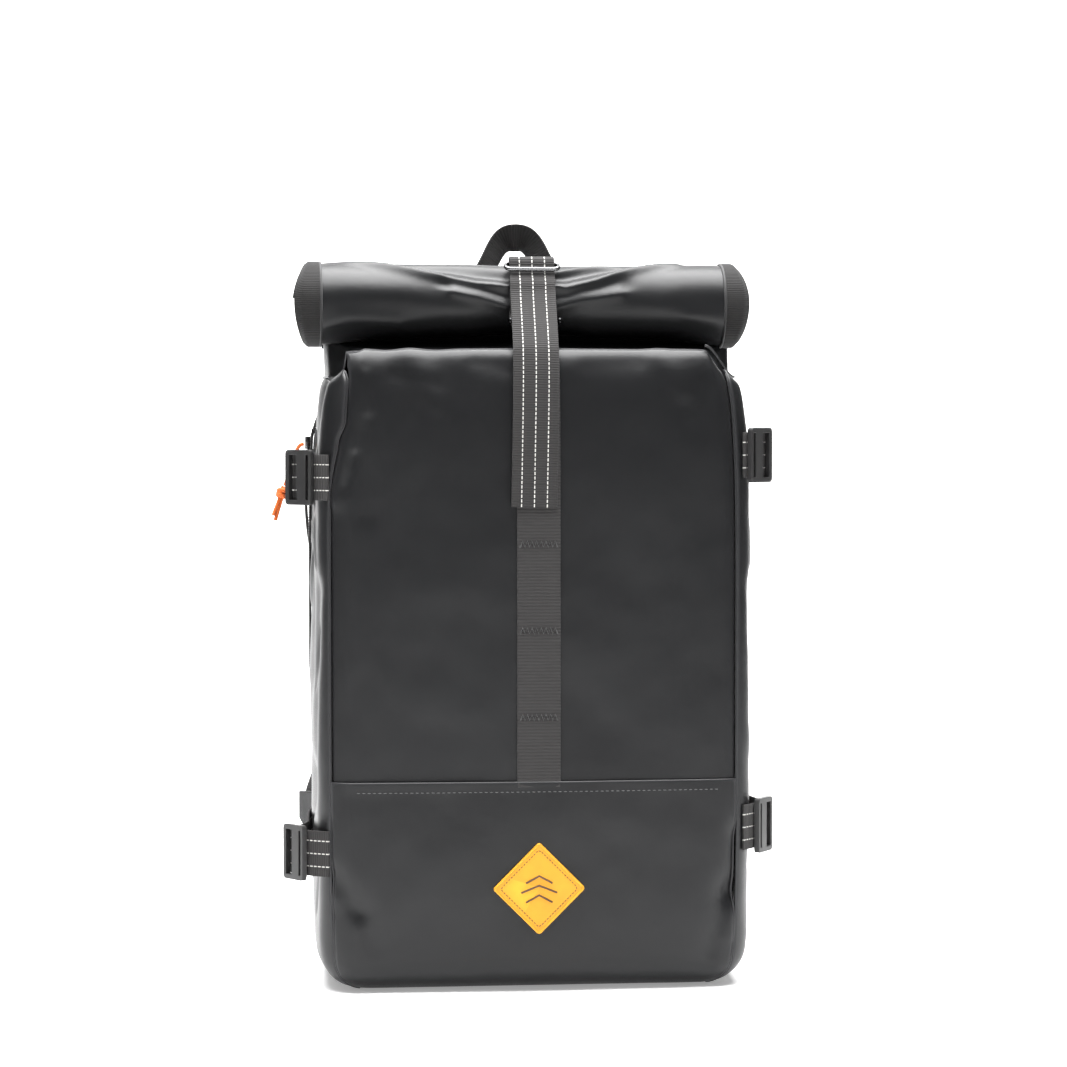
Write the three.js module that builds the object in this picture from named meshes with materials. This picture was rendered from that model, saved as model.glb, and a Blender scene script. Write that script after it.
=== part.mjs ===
// Rolltop backpack in millimetres: +Z up, the front towards -Y, the origin under the middle of the base.
import * as THREE from 'three';

// Driving dimensions of the fabric body
const shoulderHeight = 540; // floor to the soft top edge of the front panel
const bodyWidth = 372; // across the bulging sides
const bodyDepth = 190; // front panel to back panel, without the front's crown
const fabric = 2; // coated fabric wall
const lapGap = 0.3; // between two lapped layers
const seamGap = 0.5; // between two panels that meet at a seam
const baseRound = 30; // round between the floor and the upright walls
const cornerRound = 26; // upright corners
const frontCrown = 6; // how far the middle of the front stands out
const sideBulge = 6; // how far the middle of a side stands out
const frontPanelWidth = 340; // seam to seam
const hemHeight = 172; // top edge of the lower front panel
const hemLap = 12; // how far the upper panel runs down inside it
const backPadding = 10; // padded back panel
const foldDepth = 7; // deepest crease in the walls

// The roll and its bound ends
const rollLength = 386; // over the bound ends
const rollHeight = 66;
const rollDepth = 70;
const rollSetback = 18; // middle of the roll in front of the middle of the body
const rollClearance = 4; // roll above the shoulder edge
const rollPly = 5; // two flattened layers of fabric
const rollPitch = 8; // from one turn to the next
const rollEndTuck = 1; // roll's edge inside the narrowest part of the binding
const bindingWidth = 16;
const bindingThickness = 1.6;
const bindingBulge = 8; // how far the binding's middle stands out past its top and bottom

// Webbing and metal
const webbingWidth = 38;
const webbingThickness = 1.8;
const anchorWidth = 32; // the strap from the back is a little narrower
const daisyWidth = 36; // the strap sewn down the front
const strapGap = 0.4; // webbing over what it lies on
const crestClearance = 3.1; // the sewn strap's end over the front panel's soft top edge
const tailEndHeight = 401; // cut end of the closure tail
const tailSkew = 4; // the tail's end hangs this far to the left
const anchorDrop = 54; // the foot of the strap from the back, below the shoulder edge
const ringAngle = 114; // place of the metal loop round the roll, from the back, in degrees
const ringHeight = 15;
const ringWire = 3.6;
const ringMargin = 3; // loop's opening wider than its webbing
const hookHeight = 14;
const hookWire = 3.4;
const hookLift = 4.9; // the tail over the ply that runs up from the hook
const offRollAngle = 172; // where the tail leaves the roll
const hookShare = 0.62; // the hook's place down the tail from the roll to the crest of the front panel
const handleSpan = 130; // across the feet of the carry handle
const handleDrop = 38; // its feet below the shoulder edge
const handleRise = 115; // its top above the shoulder edge
const handleWebbing = 25;
const patchSide = 55;
const patchThickness = 2;
const patchHeight = 88; // middle of the diamond

// Side straps and their buckles
const buckleHeight = 46;
const buckleLength = 27;
const buckleThickness = 5;
const buckleBar = 4.6;
const strapUnderBuckle = [-0.45, 0.4]; // the stretch of strap behind it, in shares of buckleLength
// The side straps: up is a share of shoulderHeight, around the buckle's place along the outline, out its
// distance from the gusset, and turn its angle from facing the front, in degrees.
const sideStrapLevels = [
  { name: 'upper_left', side: -1, up: 0.796, around: 2, out: 15, turn: 40 },
  { name: 'upper_right', side: 1, up: 0.83, around: 1.8, out: 10.5, turn: 40 },
  { name: 'lower_left', side: -1, up: 0.217, around: 2, out: 19.5, turn: 55 },
  { name: 'lower_right', side: 1, up: 0.25, around: 2, out: 12, turn: 55 },
];

// Shoulder straps
const shoulderStrapWidth = 64;
const shoulderStrapThickness = 12;
const shoulderStandOff = 34; // how far the straps stand behind the back panel
const shoulderWebbingWidth = 25;
const shoulderBuckleLength = 30;
const shoulderBuckleHeight = 35;
const webbingOverBuckle = [-0.35, 0.6]; // the stretch of webbing over it, in shares of its length
const wingHeight = 60;
const wingReach = 40;
const wingThickness = 3;
const wingLevel = 118;
const wingTurn = 62; // how far the tab points backwards, in degrees from sideways
const wingOutline = [[0, 0], [1, 0.55], [1, 0.95], [0, 1]]; // shares of wingReach and wingHeight
const sewnReach = 0.7; // where the webbing is sewn to the tab, in shares of wingReach
const sewnLevels = [0.1, 0.4]; // foot and top of the sewn stretch above the tab's middle, of wingHeight

// Zip pull at the left
const zipLength = 210;
const zipWidth = 14;
const zipThickness = 1.5;
const zipTop = 470;
const zipPlace = 2.88; // stretch of the outline where it lies, 2 to 3 along the gusset
const sliderLength = 12;
const sliderHeight = 5;
const pullCordDiameter = 3.2;
const pullKnotRadius = 6;
const pullCordRoute = [
  [-190.3, 52.4, 457],
  [-194, 52.4, 456.4],
  [-197.5, 52.5, 450],
  [-200.5, 52.6, 441],
  [-203.5, 52.8, 431],
  [-207, 53, 420.5],
];
// The knot's outline from its top to the cut ends, in shares of pullKnotRadius: radius, then distance.
const knotProfile = [[0, 0], [0.55, 0.05], [1, 0.7], [0.95, 1.4], [0.45, 2], [0.4, 2.6], [0.62, 4.6], [0, 5]];

const halfWidth = bodyWidth / 2 - sideBulge;
const halfDepth = bodyDepth / 2;
const degrees = Math.PI / 180;
const rollCentreY = -rollSetback;
const rollCentreZ = shoulderHeight + rollClearance + rollHeight / 2;
const neckY = rollCentreY + rollDepth / 2 - rollPly / 2;

// Level cuts of the body. level and dip are shares of shoulderHeight, and dip is how far the sides hang
// below the front; width is a share of halfWidth; front and back are shares of halfDepth.
const bodySections = [
  { level: baseRound / shoulderHeight, dip: 0, width: 0.985, front: 0.975, back: 0.99 },
  { level: 0.14, dip: 0, width: 0.995, front: 1, back: 1 },
  { level: 0.3, dip: 0, width: 1, front: 1, back: 1 },
  { level: 0.55, dip: 0, width: 1, front: 0.995, back: 1 },
  { level: 0.78, dip: 0, width: 1, front: 0.985, back: 1 },
  { level: 0.88, dip: 0, width: 0.985, front: 0.97, back: 1 },
  { level: 0.945, dip: 0.012, width: 0.965, front: 0.94, back: 1 },
  { level: 0.982, dip: 0.036, width: 0.95, front: 0.89, back: 0.99 },
  { level: 1, dip: 0.048, width: 0.935, front: 0.8, back: 0.95 },
];
const collarRoof = { level: 1.001, dip: 0.045, width: 0.93, front: 0.5, back: 0.75 };

// Creases. across is a share of the panel's half width, up a share of shoulderHeight, wide a share of
// cornerRound and deep a share of foldDepth. A negative depth stands proud.
const frontFolds = [
  { across: [-0.91, -0.9], up: [0.985, 0.92], wide: 0.34, deep: 0.8 },
  { across: [-0.9, -0.92], up: [0.92, 0.86], wide: 0.3, deep: 0.6 },
  { across: [-0.92, -1], up: [0.86, 0.775], wide: 0.4, deep: 0.7 },
  { across: [-0.78, -0.7], up: [0.985, 0.94], wide: 0.7, deep: -0.4 },
  { across: [-0.55, -0.42], up: [0.985, 0.96], wide: 0.8, deep: 0.35 },
  { across: [0.9, 0.82], up: [0.97, 0.93], wide: 0.6, deep: 0.5 },
  { across: [-1, -0.86], up: [0.165, 0.105], wide: 0.4, deep: 0.8 },
  { across: [-0.96, -0.9], up: [0.13, 0.09], wide: 0.3, deep: 0.5 },
  { across: [1, 0.9], up: [0.235, 0.13], wide: 0.5, deep: 0.8 },
  { across: [0.9, 0.86], up: [0.13, 0.05], wide: 0.6, deep: 1 },
];
// The gusset creases: along is a share of halfDepth, from front (-1) to back (1).
const gussetFolds = [
  { along: [-0.5, 0.1], up: [0.93, 0.7], wide: 0.6, deep: 0.8 },
  { along: [0.2, -0.1], up: [0.9, 0.5], wide: 0.9, deep: 0.7 },
  { along: [-0.3, 0.4], up: [0.32, 0.14], wide: 0.7, deep: 0.7 },
  { along: [-0.7, -0.5], up: [0.62, 0.3], wide: 0.5, deep: 0.4 },
];

// Levels where the straps on the front panel turn, as shares of shoulderHeight.
const frontStrapLevels = [0.55, 0.78, 0.88, 0.945, 0.982];

const pinchLift = 0.6; // how much of the squeeze comes off the roll's underside
// Squeeze of the roll along its length: along is a share of half of rollLength, girth of its full size.
const rollPinch = [
  { along: 0, girth: 0.9 },
  { along: 0.14, girth: 0.905 },
  { along: 0.3, girth: 0.96 },
  { along: 0.6, girth: 1 },
  { along: 1, girth: 1 },
];

// Half of the carry handle, from a foot to the top: across is a share of half of its span, up of its
// rise, and turn goes from flat on the back (0) to on edge (1).
const handleRoute = [
  { across: 1, up: 0, turn: 0 },
  { across: 0.93, up: 0.16, turn: 0 },
  { across: 0.78, up: 0.44, turn: 0 },
  { across: 0.63, up: 0.72, turn: 0.03 },
  { across: 0.5, up: 0.87, turn: 0.1 },
  { across: 0.29, up: 0.97, turn: 0.24 },
  { across: 0, up: 1, turn: 0.33 },
];

// Route of a shoulder strap's middle line: across is a share of halfWidth, up of shoulderHeight, out of
// shoulderStandOff behind the back, wide of shoulderStrapWidth.
const shoulderRoute = [
  { across: 0.42, up: 0.8, out: 0, wide: 0.85 },
  { across: 0.53, up: 0.88, out: 0.06, wide: 0.95 },
  { across: 0.67, up: 0.93, out: 0.5, wide: 1 },
  { across: 0.79, up: 0.905, out: 0.9, wide: 1 },
  { across: 0.86, up: 0.83, out: 1, wide: 1 },
  { across: 0.86, up: 0.72, out: 1, wide: 1 },
  { across: 0.82, up: 0.6, out: 0.95, wide: 0.85 },
  { across: 0.79, up: 0.5, out: 0.85, wide: 0.6 },
];

const materials = {
  coatedFabric: new THREE.MeshStandardMaterial({ color: 0x37383b, roughness: 0.5, metalness: 0 }),
  webbing: new THREE.MeshStandardMaterial({ color: 0x3a3838, roughness: 0.85, metalness: 0 }),
  padding: new THREE.MeshStandardMaterial({ color: 0x2c2d2f, roughness: 0.9, metalness: 0 }),
  plastic: new THREE.MeshStandardMaterial({ color: 0x2b2b2d, roughness: 0.55, metalness: 0 }),
  steel: new THREE.MeshStandardMaterial({ color: 0x77777a, roughness: 0.3, metalness: 1 }),
  orangeCord: new THREE.MeshStandardMaterial({ color: 0xf2551c, roughness: 0.7, metalness: 0 }),
  patchFace: new THREE.MeshStandardMaterial({ color: 0xdf9618, roughness: 0.6, metalness: 0 }),
};

const backpack = new THREE.Group();

function addPiece(name, geometry, material) {
  const mesh = new THREE.Mesh(geometry, material);
  mesh.name = name;
  backpack.add(mesh);
}

// Even numbers from low to high, both included.
function spread(low, high, steps) {
  return Array.from({ length: steps + 1 }, (_, i) => low + ((high - low) * i) / steps);
}

function signedVolume(points, triangles) {
  let sum = 0;
  for (let i = 0; i < triangles.length; i += 3) {
    const [a, b, c] = [points[triangles[i]], points[triangles[i + 1]], points[triangles[i + 2]]];
    sum += a.dot(new THREE.Vector3().crossVectors(b, c));
  }
  return sum;
}

function closedGeometry(points, triangles) {
  const ordered = [...triangles];
  if (signedVolume(points, triangles) < 0) ordered.reverse();
  const geometry = new THREE.BufferGeometry().setFromPoints(points);
  geometry.setIndex(ordered);
  geometry.computeVertexNormals();
  return geometry;
}

// A wall between two grids of points, closed at its four edges, or only at two where the rows are loops.
function wallBetween(outer, inner, looped) {
  const rows = outer.length;
  const columns = outer[0].length;
  const points = [...outer.flat(), ...inner.flat()];
  const outside = (row, column) => row * columns + (column % columns);
  const inside = (row, column) => rows * columns + outside(row, column);
  const triangles = [];
  const quad = (a, b, c, d) => triangles.push(a, b, c, a, c, d);
  const spans = looped ? columns : columns - 1;
  for (let row = 0; row < rows - 1; row += 1) {
    for (let column = 0; column < spans; column += 1) {
      const next = column + 1;
      quad(outside(row, column), outside(row, next), outside(row + 1, next), outside(row + 1, column));
      quad(inside(row, column), inside(row + 1, column), inside(row + 1, next), inside(row, next));
    }
  }
  for (let column = 0; column < spans; column += 1) {
    const next = column + 1;
    const last = rows - 1;
    quad(outside(0, next), outside(0, column), inside(0, column), inside(0, next));
    quad(outside(last, column), outside(last, next), inside(last, next), inside(last, column));
  }
  if (!looped) {
    for (let row = 0; row < rows - 1; row += 1) {
      const last = columns - 1;
      quad(outside(row, 0), outside(row + 1, 0), inside(row + 1, 0), inside(row, 0));
      quad(outside(row + 1, last), outside(row, last), inside(row, last), inside(row + 1, last));
    }
  }
  return closedGeometry(points, triangles);
}

// A solid through rings of the same number of points. endOutline gives each ring's two flat coordinates.
function loftRings(rings, endOutline) {
  const count = rings[0].length;
  const points = rings.flat();
  const triangles = [];
  for (let ring = 0; ring < rings.length - 1; ring += 1) {
    for (let i = 0; i < count; i += 1) {
      const next = (i + 1) % count;
      const [a, b] = [ring * count + i, ring * count + next];
      triangles.push(a, b, b + count, a, b + count, a + count);
    }
  }
  const cap = THREE.ShapeUtils.triangulateShape(endOutline, []);
  const turns = THREE.ShapeUtils.area(endOutline) > 0 ? 1 : -1;
  const lastRing = (rings.length - 1) * count;
  for (const [a, b, c] of cap) {
    if (turns > 0) {
      triangles.push(a, c, b, lastRing + a, lastRing + b, lastRing + c);
    } else {
      triangles.push(a, b, c, lastRing + a, lastRing + c, lastRing + b);
    }
  }
  return closedGeometry(points, triangles);
}

// A flat strap. Each station is a point on its middle line, the way its width runs there, and the width.
function ribbon(stations, thickness) {
  const face = (lift) =>
    stations.map((station, i) => {
      const before = stations[Math.max(0, i - 1)].point;
      const after = stations[Math.min(stations.length - 1, i + 1)].point;
      const along = after.clone().sub(before).normalize();
      const across = station.across.clone().addScaledVector(along, -along.dot(station.across)).normalize();
      const up = new THREE.Vector3().crossVectors(along, across);
      return [-1, 1].map((side) =>
        station.point
          .clone()
          .addScaledVector(across, (side * station.width) / 2)
          .addScaledVector(up, lift),
      );
    });
  return wallBetween(face(thickness / 2), face(-thickness / 2), false);
}

// A wire loop with small round corners: a torus whose four quarters are drawn apart.
function wireLoop(width, height, wire) {
  const facets = 20;
  const bend = wire * 0.75;
  const loop = new THREE.TorusGeometry(bend, wire / 2, 8, facets);
  loop.rotateZ(Math.PI / facets);
  const position = loop.getAttribute('position');
  const reach = (size) => size / 2 - wire / 2 - bend;
  for (let i = 0; i < position.count; i += 1) {
    const [x, y] = [position.getX(i), position.getY(i)];
    position.setXY(i, x + Math.sign(x) * reach(width), y + Math.sign(y) * reach(height));
  }
  return loop;
}

// A buckle: a flat frame with two windows and the bar between them, the one at the free end a little taller.
function ladderBuckle(length, height, thickness, bar) {
  const frame = new THREE.Shape();
  const corner = bar * 0.6;
  const [x, y] = [length / 2, height / 2];
  frame.moveTo(-x + corner, -y);
  frame.lineTo(x - corner, -y);
  frame.quadraticCurveTo(x, -y, x, -y + corner);
  frame.lineTo(x, y - corner);
  frame.quadraticCurveTo(x, y, x - corner, y);
  frame.lineTo(-x + corner, y);
  frame.quadraticCurveTo(-x, y, -x, y - corner);
  frame.lineTo(-x, -y + corner);
  frame.quadraticCurveTo(-x, -y, -x + corner, -y);
  const windowLength = (length - 3 * bar) / 2;
  for (const side of [-1, 1]) {
    const near = side * (bar / 2);
    const far = side * (bar / 2 + windowLength);
    const reach = y - bar * (side > 0 ? 0.7 : 0.8);
    const gap = new THREE.Path();
    gap.moveTo(near, -reach);
    gap.lineTo(far, -reach);
    gap.lineTo(far, reach);
    gap.lineTo(near, reach);
    frame.holes.push(gap);
  }
  const plate = { depth: thickness, bevelEnabled: false, curveSegments: 3 };
  return new THREE.ExtrudeGeometry(frame, plate).translate(0, 0, -thickness / 2);
}

function blendSections(low, high, share) {
  const mixed = {};
  for (const key of Object.keys(low)) mixed[key] = THREE.MathUtils.lerp(low[key], high[key], share);
  return mixed;
}

function realSection(row) {
  return {
    z: row.level * shoulderHeight,
    dip: row.dip * shoulderHeight,
    width: row.width * halfWidth,
    front: row.front * halfDepth,
    back: row.back * halfDepth,
    corner: cornerRound,
  };
}

// Round from the floor up to the first upright section, then the table, as one list from the base up.
const roundSteps = 4;
const foot = realSection(bodySections[0]);
const baseRows = spread(0, 90, roundSteps).slice(0, -1).map((angle) => {
  const inset = baseRound * (1 - Math.sin(angle * degrees));
  return {
    ...foot,
    z: baseRound * (1 - Math.cos(angle * degrees)),
    width: foot.width - inset,
    front: foot.front - inset,
    back: foot.back - inset,
    corner: Math.max(cornerRound - inset * 0.5, fabric * 2),
  };
});
const wallRows = [...baseRows, ...bodySections.map(realSection)];
const wallTop = wallRows.length - 1;

function sectionAlong(rows, place) {
  const low = Math.min(Math.max(Math.floor(place), 0), rows.length - 2);
  return blendSections(rows[low], rows[low + 1], place - low);
}

function placeOfHeight(height) {
  let low = 0;
  while (low < wallTop - 1 && wallRows[low + 1].z < height) low += 1;
  return low + (height - wallRows[low].z) / (wallRows[low + 1].z - wallRows[low].z);
}

// A point of the outline of a section. s counts its eight stretches from the left end of the front: front,
// corner, right side, corner, back, corner, left side, corner.
function outlinePoint(section, s) {
  const wrapped = ((s % 8) + 8) % 8;
  const stretch = Math.floor(wrapped);
  const t = wrapped - stretch;
  const { width, front, back, corner } = section;
  const [right, rear, fore] = [width - corner, back - corner, -front + corner];
  const lerp = THREE.MathUtils.lerp;
  const arc = (x, y, from) => {
    const angle = (from + 90 * t) * degrees;
    return [x + corner * Math.cos(angle), y + corner * Math.sin(angle)];
  };
  const stretches = [
    () => [lerp(-right, right, t), -front],
    () => arc(right, fore, -90),
    () => [width, lerp(fore, rear, t)],
    () => arc(right, rear, 0),
    () => [lerp(right, -right, t), back],
    () => arc(-right, rear, 90),
    () => [-width, lerp(rear, fore, t)],
    () => arc(-right, fore, 180),
  ];
  const [x, y] = stretches[stretch]();
  const across = x / width;
  const along = (y - (back - front) / 2) / ((back + front) / 2);
  const sideways = THREE.MathUtils.smoothstep(Math.abs(x), right, width);
  const lift = THREE.MathUtils.clamp(section.z / baseRound, 0, 1);
  const crown = along < 0 ? frontCrown * (1 - across ** 2) * along ** 2 * lift : 0;
  const bulge = Math.sign(x) * sideBulge * (1 - along ** 2) * across ** 2 * lift;
  return new THREE.Vector3(x + bulge, y - crown, section.z - section.dip * sideways);
}

function surfacePoint(rows, s, place) {
  return outlinePoint(sectionAlong(rows, place), s);
}

function surfaceNormal(rows, s, place) {
  const [ds, dp] = [0.02, 0.12];
  const low = Math.max(place - dp, 0);
  const high = Math.min(place + dp, rows.length - 1);
  const along = surfacePoint(rows, s + ds, place).sub(surfacePoint(rows, s - ds, place));
  const up = surfacePoint(rows, s, high).sub(surfacePoint(rows, s, low));
  return along.cross(up).normalize();
}

// How deep the creases of a table lie at a point given in millimetres on the panel.
function creaseAt(folds, key, halfSpan, x, z) {
  let depth = 0;
  for (const fold of folds) {
    const start = new THREE.Vector2(fold[key][0] * halfSpan, fold.up[0] * shoulderHeight);
    const end = new THREE.Vector2(fold[key][1] * halfSpan, fold.up[1] * shoulderHeight);
    const line = end.clone().sub(start);
    const spot = new THREE.Vector2(x, z).sub(start);
    const share = THREE.MathUtils.clamp(spot.dot(line) / line.lengthSq(), 0, 1);
    const distance = spot.sub(line.multiplyScalar(share)).length();
    depth += fold.deep * foldDepth * Math.exp(-((distance / (fold.wide * cornerRound)) ** 2));
  }
  return depth;
}

const flat = () => 0;

// A fabric panel: the stretch of the body's surface between two seams and two levels.
function bodyPanel({ rows, across, levels, inset = 0, thickness = fabric, crease = flat, looped = false }) {
  const layer = (depth) =>
    levels.map((place) =>
      across.map((s) => {
        const point = surfacePoint(rows, s, place);
        const fold = crease(point);
        return point.addScaledVector(surfaceNormal(rows, s, place), -depth - fold);
      }),
    );
  return wallBetween(layer(inset), layer(inset + thickness), looped);
}

// Where the front seams lie on the corner arcs, as s: the panel ends at half of frontPanelWidth.
const seamSine = (frontPanelWidth / 2 - (halfWidth - cornerRound)) / cornerRound;
const frontSeam = Math.asin(THREE.MathUtils.clamp(seamSine, 0, 1)) / (90 * degrees);
const backSeam = 0.5;
const seamStep = seamGap / (cornerRound * 90 * degrees);
const backTop = placeOfHeight(shoulderHeight - 2 * fabric);
const edgeShares = [0, 0.03, 0.07, 0.12, 0.2, 0.34, 0.5, 0.66, 0.8, 0.88, 0.93, 0.97];
const frontAcross = [
  ...spread(-frontSeam + seamStep, 0, 2).slice(0, -1),
  ...edgeShares,
  ...spread(1, 1 + frontSeam - seamStep, 2),
];
const gussetAcross = (start) => [
  ...spread(start + frontSeam + seamStep, start + 1, 2).slice(0, -1),
  ...spread(start + 1, start + 2, 6).slice(0, -1),
  ...spread(start + 2, start + 2 + backSeam - seamStep, 2),
];
const backAcross = [
  ...spread(3 + backSeam + 2 * seamStep, 4, 2).slice(0, -1),
  ...spread(4, 5, 4).slice(0, -1),
  ...spread(5, 5 + backSeam - 2 * seamStep, 2),
];

function levelsBetween(low, high, steps) {
  return spread(placeOfHeight(low), placeOfHeight(high), steps);
}
const topLevel = placeOfHeight(shoulderHeight - fabric - seamGap);
const upperStart = hemHeight - hemLap;
const bendLevels = spread(0, roundSteps, roundSteps);
const sideLevels = [...bendLevels, ...spread(roundSteps, topLevel, 14).slice(1)];
const lapLevels = levelsBetween(upperStart, hemHeight, 2);
const frontInset = fabric + lapGap;

const frontCrease = (point) => creaseAt(frontFolds, 'across', frontPanelWidth / 2, point.x, point.z);
const gussetCrease = (point) => creaseAt(gussetFolds, 'along', halfDepth, point.y, point.z);

function buildPanels() {
  addPiece('front_panel', bodyPanel({
    rows: wallRows,
    across: frontAcross,
    levels: [
      ...lapLevels,
      ...levelsBetween(hemHeight, 0.7 * shoulderHeight, 4).slice(1),
      ...spread(placeOfHeight(0.7 * shoulderHeight), topLevel, 11).slice(1),
    ],
    inset: frontInset,
    crease: frontCrease,
  }), materials.coatedFabric);
  addPiece('lower_front_panel', bodyPanel({
    rows: wallRows,
    across: frontAcross,
    levels: [...bendLevels, ...levelsBetween(baseRound, upperStart, 6).slice(1), ...lapLevels.slice(1)],
    crease: frontCrease,
  }), materials.coatedFabric);
  for (const [name, start] of [['side_gusset_right', 1], ['side_gusset_left', 5]]) {
    // The left gusset runs on from the back seam, so its stretch is the right one's, turned about.
    const across = start === 1 ? gussetAcross(1) : gussetAcross(1).map((s) => 9 - s).reverse();
    addPiece(name, bodyPanel({
      rows: wallRows,
      across,
      levels: sideLevels,
      crease: gussetCrease,
    }), materials.coatedFabric);
  }
  addPiece('back_panel', bodyPanel({
    rows: wallRows,
    across: backAcross,
    levels: [...bendLevels, ...spread(roundSteps, backTop, 6).slice(1)],
    thickness: backPadding,
  }), materials.padding);
}

function buildBase() {
  const steps = [0, 1, 1.5, 2, 3, 3.5, 4, 5, 5.5, 6, 7, 7.5];
  const outline = steps.map((s) => outlinePoint(wallRows[0], s));
  const inner = outline.map((point) => {
    const shrink = (value, half) => value * (1 - seamGap / half);
    return new THREE.Vector2(shrink(point.x, wallRows[0].width), shrink(point.y, wallRows[0].front));
  });
  const plate = new THREE.ExtrudeGeometry(new THREE.Shape(inner), { depth: fabric, bevelEnabled: false });
  addPiece('base_panel', plate, materials.coatedFabric);
}

// The collar closes from the panels' top seam to a narrow slot round the neck of the roll.
function buildCollar() {
  const slotHalf = rollPly / 2 + strapGap;
  const neckRow = {
    z: shoulderHeight - fabric,
    dip: 0,
    width: rollLength / 2 - bindingWidth,
    front: -(neckY - slotHalf - fabric),
    back: neckY + slotHalf + fabric,
    corner: fabric,
  };
  const rows = [wallRows[wallTop], { ...realSection(collarRoof), corner: cornerRound }, neckRow];
  const startPlace = seamGap / (rows[0].front - rows[1].front);
  addPiece('top_collar', bodyPanel({
    rows,
    across: [
      ...spread(0, 1, 6).slice(0, -1), ...spread(1, 2, 3).slice(0, -1),
      ...spread(2, 3, 3).slice(0, -1), ...spread(3, 4, 3).slice(0, -1),
      ...spread(4, 5, 6).slice(0, -1), ...spread(5, 6, 3).slice(0, -1),
      ...spread(6, 7, 3).slice(0, -1), ...spread(7, 8, 3).slice(0, -1),
    ],
    levels: [...spread(startPlace, 1, 2), 1.35, 1.7, 2],
    inset: 0,
    looped: true,
  }), materials.coatedFabric);
}

function girthAt(x) {
  const along = Math.min(Math.abs(x) / (rollLength / 2), 1);
  const next = rollPinch.findIndex((row) => row.along >= along && row.along > 0);
  const [low, high] = [rollPinch[next - 1], rollPinch[next]];
  return THREE.MathUtils.mapLinear(along, low.along, high.along, low.girth, high.girth);
}

// A point round the roll: angle 0 is its back, 90 its top, 180 its front.
function rollPoint(x, angle, offset) {
  const girth = girthAt(x);
  const lift = (rollHeight / 2) * (1 - girth) * pinchLift;
  return new THREE.Vector3(
    x,
    rollCentreY + ((rollDepth / 2) * girth + offset) * Math.cos(angle * degrees),
    rollCentreZ + lift + ((rollHeight / 2) * girth + offset) * Math.sin(angle * degrees),
  );
}

// The outer face of the wound fabric moves in by one pitch where it tucks under itself.
const tuckStart = 250;
const [windingStart, windingEnd, windingStep] = [10, 510, 20];
const bindingEnd = 290;
function windingInset(angle) {
  if (angle < tuckStart) return 0;
  if (angle < 360) return (rollPitch * (angle - tuckStart)) / (360 - tuckStart);
  return rollPitch * (angle / 360);
}

function buildRoll() {
  const neckFoot = shoulderHeight - fabric + 3 * lapGap;
  const angles = spread(windingStart, windingEnd, (windingEnd - windingStart) / windingStep);
  const across = rollLength / 2 - bindingBulge - rollEndTuck;
  const neckReach = (rollLength / 2 - bindingWidth) / across;
  const stations = [-1, -0.8, -0.6, -0.45, -0.3, -0.2, -0.13, 0, 0.13, 0.2, 0.3, 0.45, 0.6, 0.8, 1];
  const rings = stations.map((share) => {
    const x = share * across;
    const neck = [neckFoot, shoulderHeight + 1].map((z) => new THREE.Vector3(x * neckReach, neckY, z));
    const face = (depth) => angles.map((angle) => rollPoint(x, angle, -windingInset(angle) - depth));
    const side = (shift) => neck.map((point) => point.clone().add(new THREE.Vector3(0, shift, 0)));
    return [
      ...side(rollPly / 2), ...face(0),
      ...face(rollPly).reverse(), ...side(-rollPly / 2).reverse(),
    ];
  });
  const outline = rings[0].map((point) => new THREE.Vector2(point.y, point.z));
  addPiece('rolled_top', loftRings(rings, outline), materials.coatedFabric);

  for (const [name, side] of [['roll_binding_left', -1], ['roll_binding_right', 1]]) {
    const bound = spread(windingStart, bindingEnd, (bindingEnd - windingStart) / windingStep).map((angle) => {
      const bulge = bindingBulge * (1 - Math.abs(Math.cos((angle - 90) * degrees)));
      const end = rollLength / 2 - bindingBulge + bulge;
      const [near, far] = [side * (rollLength / 2 - bindingWidth - bindingBulge), side * end];
      const low = lapGap - windingInset(angle);
      const inside = rollPoint(near, angle, low);
      const outside = rollPoint(near, angle, low + bindingThickness);
      const moved = (point) => new THREE.Vector3(far, point.y, point.z);
      return [inside, outside, moved(outside), moved(inside)];
    });
    const square = [[0, 0], [0, 1], [1, 1], [1, 0]].map(([x, y]) => new THREE.Vector2(x, y));
    addPiece(name, loftRings(bound, square), materials.webbing);
  }
}

// The upper front panel's face at a height, pushed out by a gap.
function frontFacePoint(x, height, gap) {
  const section = sectionAlong(wallRows, placeOfHeight(Math.min(height, shoulderHeight)));
  const across = x / section.width;
  const face = -section.front - frontCrown * (1 - across ** 2) + frontInset;
  return new THREE.Vector3(x, face - gap, height);
}

// A strap whose width runs along X all the way.
function straightWebbing(points, width) {
  const stations = points.map((point) => ({ point, across: new THREE.Vector3(1, 0, 0), width }));
  return ribbon(stations, webbingThickness);
}

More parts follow.
